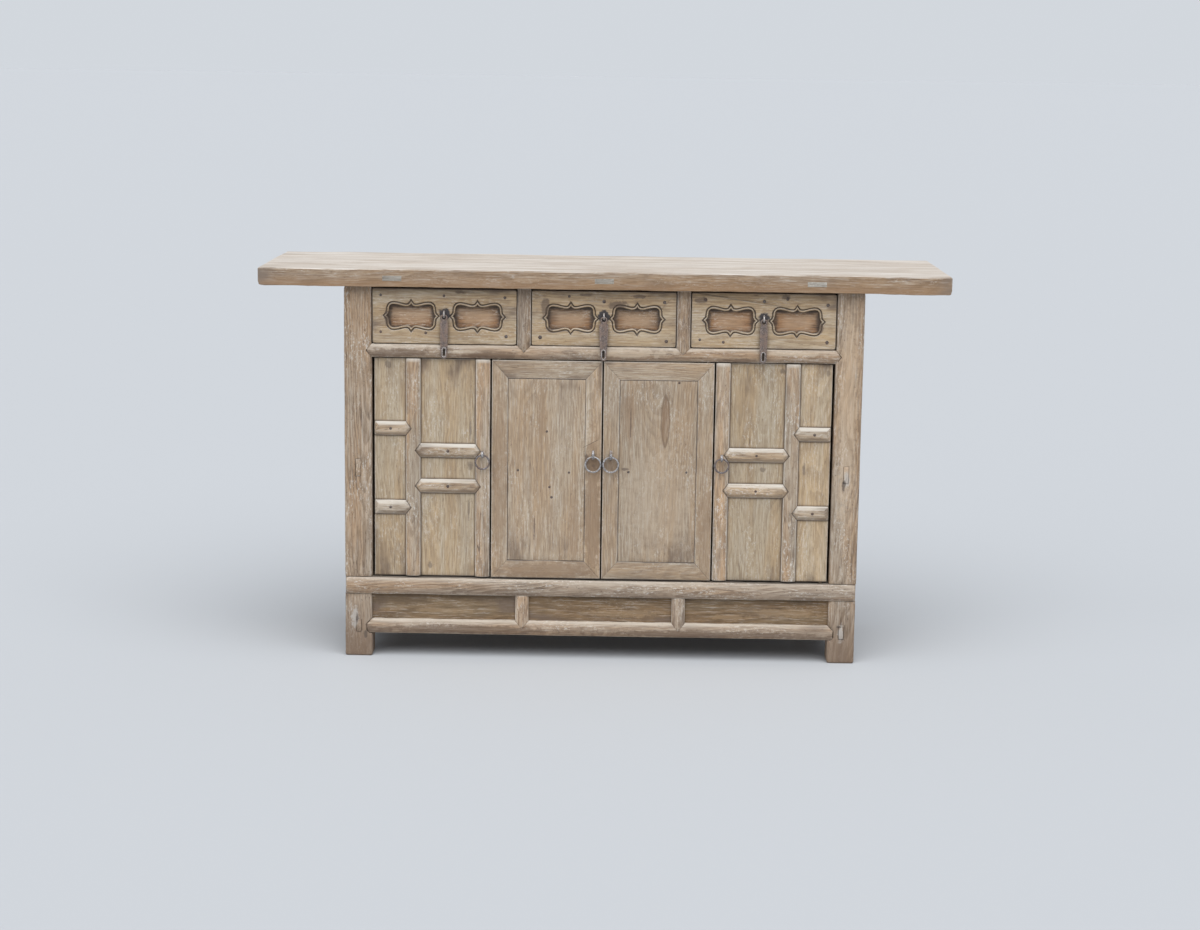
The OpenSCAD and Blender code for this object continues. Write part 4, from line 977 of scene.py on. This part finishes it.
def joint_lines(place, grain, patches, colour):
    """Brown and pale areas, old stains, dark spots and a painted shadow beside the left ring, a long
    knot, dark lines in the mitres and round the panel, a crack over the left ring, painted shade
    along the lower edge for the gap under the door, and a stain where each ring knocks."""
    browner = [(-0.020, 0.36, 0.024, 0.22), (-0.125, 0.206, 0.14, 0.028), (0.232, 0.30, 0.022, 0.14),
               (0.060, 0.56, 0.016, 0.07), (-0.135, 0.56, 0.010, 0.09), (-0.060, 0.30, 0.014, 0.10),
               (-0.229, 0.42, 0.020, 0.24)]
    colour = blots(place, colour, (0.280, 0.190, 0.120), browner, 0.5)
    darkest = [(-0.020, 0.33, 0.024, 0.19), (-0.125, 0.203, 0.125, 0.022)]
    colour = blots(place, colour, (0.265, 0.180, 0.115), darkest, 0.5)
    colour = blots(place, colour, (0.52, 0.420, 0.315), [(0.125, 0.37, 0.090, 0.16)], 0.3)
    # The third and fourth spots, beside the left ring, are dark spots and the ring's painted shadow.
    stains = [(0.063, 0.545, 0.0022, 0.042), (-0.150, 0.300, 0.0025, 0.030), (-0.034, 0.457, 0.005, 0.020),
              (-0.018, 0.444, 0.005, 0.006), (0.052, 0.438, 0.010, 0.004)]
    colour = blots(place, colour, (0.13, 0.095, 0.075), stains, 0.7)
    aside = abs(place.axis("X"))
    up = place.axis("Z")
    knot = apart((place.axis("X") - knot_at[0]) / knot_size[0], (up - knot_at[1]) / knot_size[1])
    knot = knot + (patches.axis("X") - 0.5) * 0.5
    lined = place.noise((0.0035, 0.0035, 0.040), (4, 4, 4)).rise(0.35, 0.60)
    colour = (knot.rise(1.05, 0.80) * (0.25 + 0.55 * lined)).lay((0.23, 0.145, 0.088), colour)
    colour = (abs(knot - 0.90).rise(0.20, 0.02) * 0.5).lay((0.15, 0.100, 0.065), colour)
    from_side = (aside - door_edges[0]).least(door_edges[1] - aside)
    from_end = (up - door_ends[0]).least(door_ends[1] - up)
    in_panel = (from_side - frame_w).least(from_end - frame_h)
    border = abs(in_panel).rise(0.0019, 0.0004)
    mitre = abs(from_side * (frame_h / frame_w) - from_end).rise(0.0014, 0.0003)
    mitre = mitre * in_panel.rise(0.0002, 0.0)
    broken = 0.25 + 0.75 * patches.axis("Z").rise(0.42, 0.58)
    run = place.axis("X") - crack_start[0]
    off_crack = abs(up - crack_start[1] - run * crack_slope)
    off_crack = off_crack + run.rise(0.0, -0.002) + run.rise(crack_run, crack_run + 0.003)
    lines = (border * broken).most(mitre * 0.45 * broken).most(off_crack.rise(0.0011, 0.0003) * 0.8)
    colour = (lines * 0.85).lay((0.085, 0.060, 0.045), colour)
    colour = shaded_foot(up, colour, 0.003, 0.7)
    knocked = apart(aside - knock_x, up - knock_z).rise(0.0215, 0.0120)
    return (knocked * (0.25 + 0.5 * patches.axis("Y"))).lay((0.150, 0.095, 0.060), colour)


centre_wood = old_wood("centre door elm", (0.440, 0.355, 0.262), (0.430, 0.310, 0.200), (0.240, 0.170, 0.115),
                       ring=0.0052, figure=0.45, streaky=0.3, cracks=0.5, soil=0.6, marks=joint_lines)
panel_nails = {
    "left": [(-0.124, 0.521), (-0.188, 0.4325), (-0.0735, 0.4287), (-0.117, 0.395), (-0.112, 0.372)],
    "right": [(0.0595, 0.432), (0.189, 0.433), (0.1696, 0.635)]}
for side in ("left", "right"):
    for member, axes in (("stiles", "zxy"), ("rails", "xzy"), ("panel", "zxy")):
        dressed(f"centre_door_{side}_{member}", centre_wood, axes, {"x": 0.02, "z": 0.02},
                warp=(0.0005, 0.07), ease=0.0007)
    low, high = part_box(f"centre_door_{side}_panel")
    nailed(f"centre_door_{side}_nails", f"centre_door_{side}", low[1], panel_nails[side], size=0.7)


# The pulls: a ring of round wire hangs in an eye on each door. Forged by hand and not quite
# even; the centre doors' pulls are rubbed bright, the outer ones are darker.

dull_iron = iron("dull iron", (0.27, 0.25, 0.255), (0.085, 0.078, 0.082), (0.150, 0.105, 0.085))
bright_iron = iron("rubbed iron", (0.50, 0.49, 0.49), (0.21, 0.20, 0.205), (0.190, 0.135, 0.105),
                   shine=0.7, rusted=(0.52, 0.68))
eye_widened = 1.5
eye_raised = 1.35
for door, finish in (("outer_door_left", dull_iron), ("outer_door_right", dull_iron),
                     ("centre_door_left", bright_iron), ("centre_door_right", bright_iron)):
    for fitting, metal in (("ring", finish), ("eye", bright_iron)):
        wire = copied(f"{door}_{fitting}")
        low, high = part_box(f"{door}_{fitting}")
        if fitting == "eye":
            bpy.ops.mesh.select_all(action="SELECT")
            bpy.ops.transform.resize(value=(eye_widened, 1, eye_raised if "centre" in door else 1),
                                     center_override=((low[0] + high[0]) / 2, low[1], low[2]))
        bpy.ops.object.mode_set(mode="OBJECT")
        swelled(wire, 0.0005, 0.007)
        stands_for(wire, f"{door}_{fitting}", [metal])


# The hasps: each is a flat iron strap with a link at the top, which hangs in a staple of round
# wire, and a slot with a raised rim near its rounded tip. Forged, and rusted brown.

hasp_iron = iron("rusted iron", (0.29, 0.235, 0.210), (0.100, 0.078, 0.070), (0.235, 0.165, 0.130))
# The slot rims and staples are pale: rubbed iron and painted highlights.
rim_iron_rubbed_and_lit = iron("rubbed rim", (0.62, 0.58, 0.56), (0.27, 0.245, 0.235), (0.230, 0.170, 0.140),
                rusted=(0.52, 0.72))
slot_half = 0.0035
slot_run = 0.013
slot_foot = 0.0045
rim_wire = 0.0009
half_strap = 0.0011
for side in ("left", "middle", "right"):
    hasp = copied(f"drawer_{side}_hasp")
    eased(hasp, 0.0004)
    low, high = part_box(f"drawer_{side}_hasp")
    mid_x = (low[0] + high[0]) / 2
    strap_front = (low[1] + high[1]) / 2 - half_strap
    slot_z = low[2] + slot_foot + slot_half
    bpy.ops.object.select_all(action="DESELECT")
    bpy.ops.mesh.primitive_torus_add(
        location=(mid_x, strap_front, slot_z), rotation=(math.pi / 2, 0, 0), major_segments=32,
        minor_segments=10, major_radius=slot_half + rim_wire / 2, minor_radius=rim_wire)
    bpy.ops.object.transform_apply()
    slot_rim = bpy.context.object
    slot_rim.data.materials.append(rim_iron_rubbed_and_lit)
    for corner in slot_rim.data.vertices:
        if corner.co.z > slot_z:
            corner.co.z += slot_run
    swelled(slot_rim, 0.0005, 0.006)
    hasp.data.materials.clear()
    hasp.data.materials.append(hasp_iron)
    hasp.select_set(True)
    bpy.context.view_layer.objects.active = hasp
    bpy.ops.object.join()
    swelled(hasp, 0.0005, 0.012)
    stands_for(hasp, f"drawer_{side}_hasp", [])
    staple = copied(f"drawer_{side}_staple")
    bpy.ops.object.mode_set(mode="OBJECT")
    swelled(staple, 0.0004, 0.007)
    stands_for(staple, f"drawer_{side}_staple", [rim_iron_rubbed_and_lit])
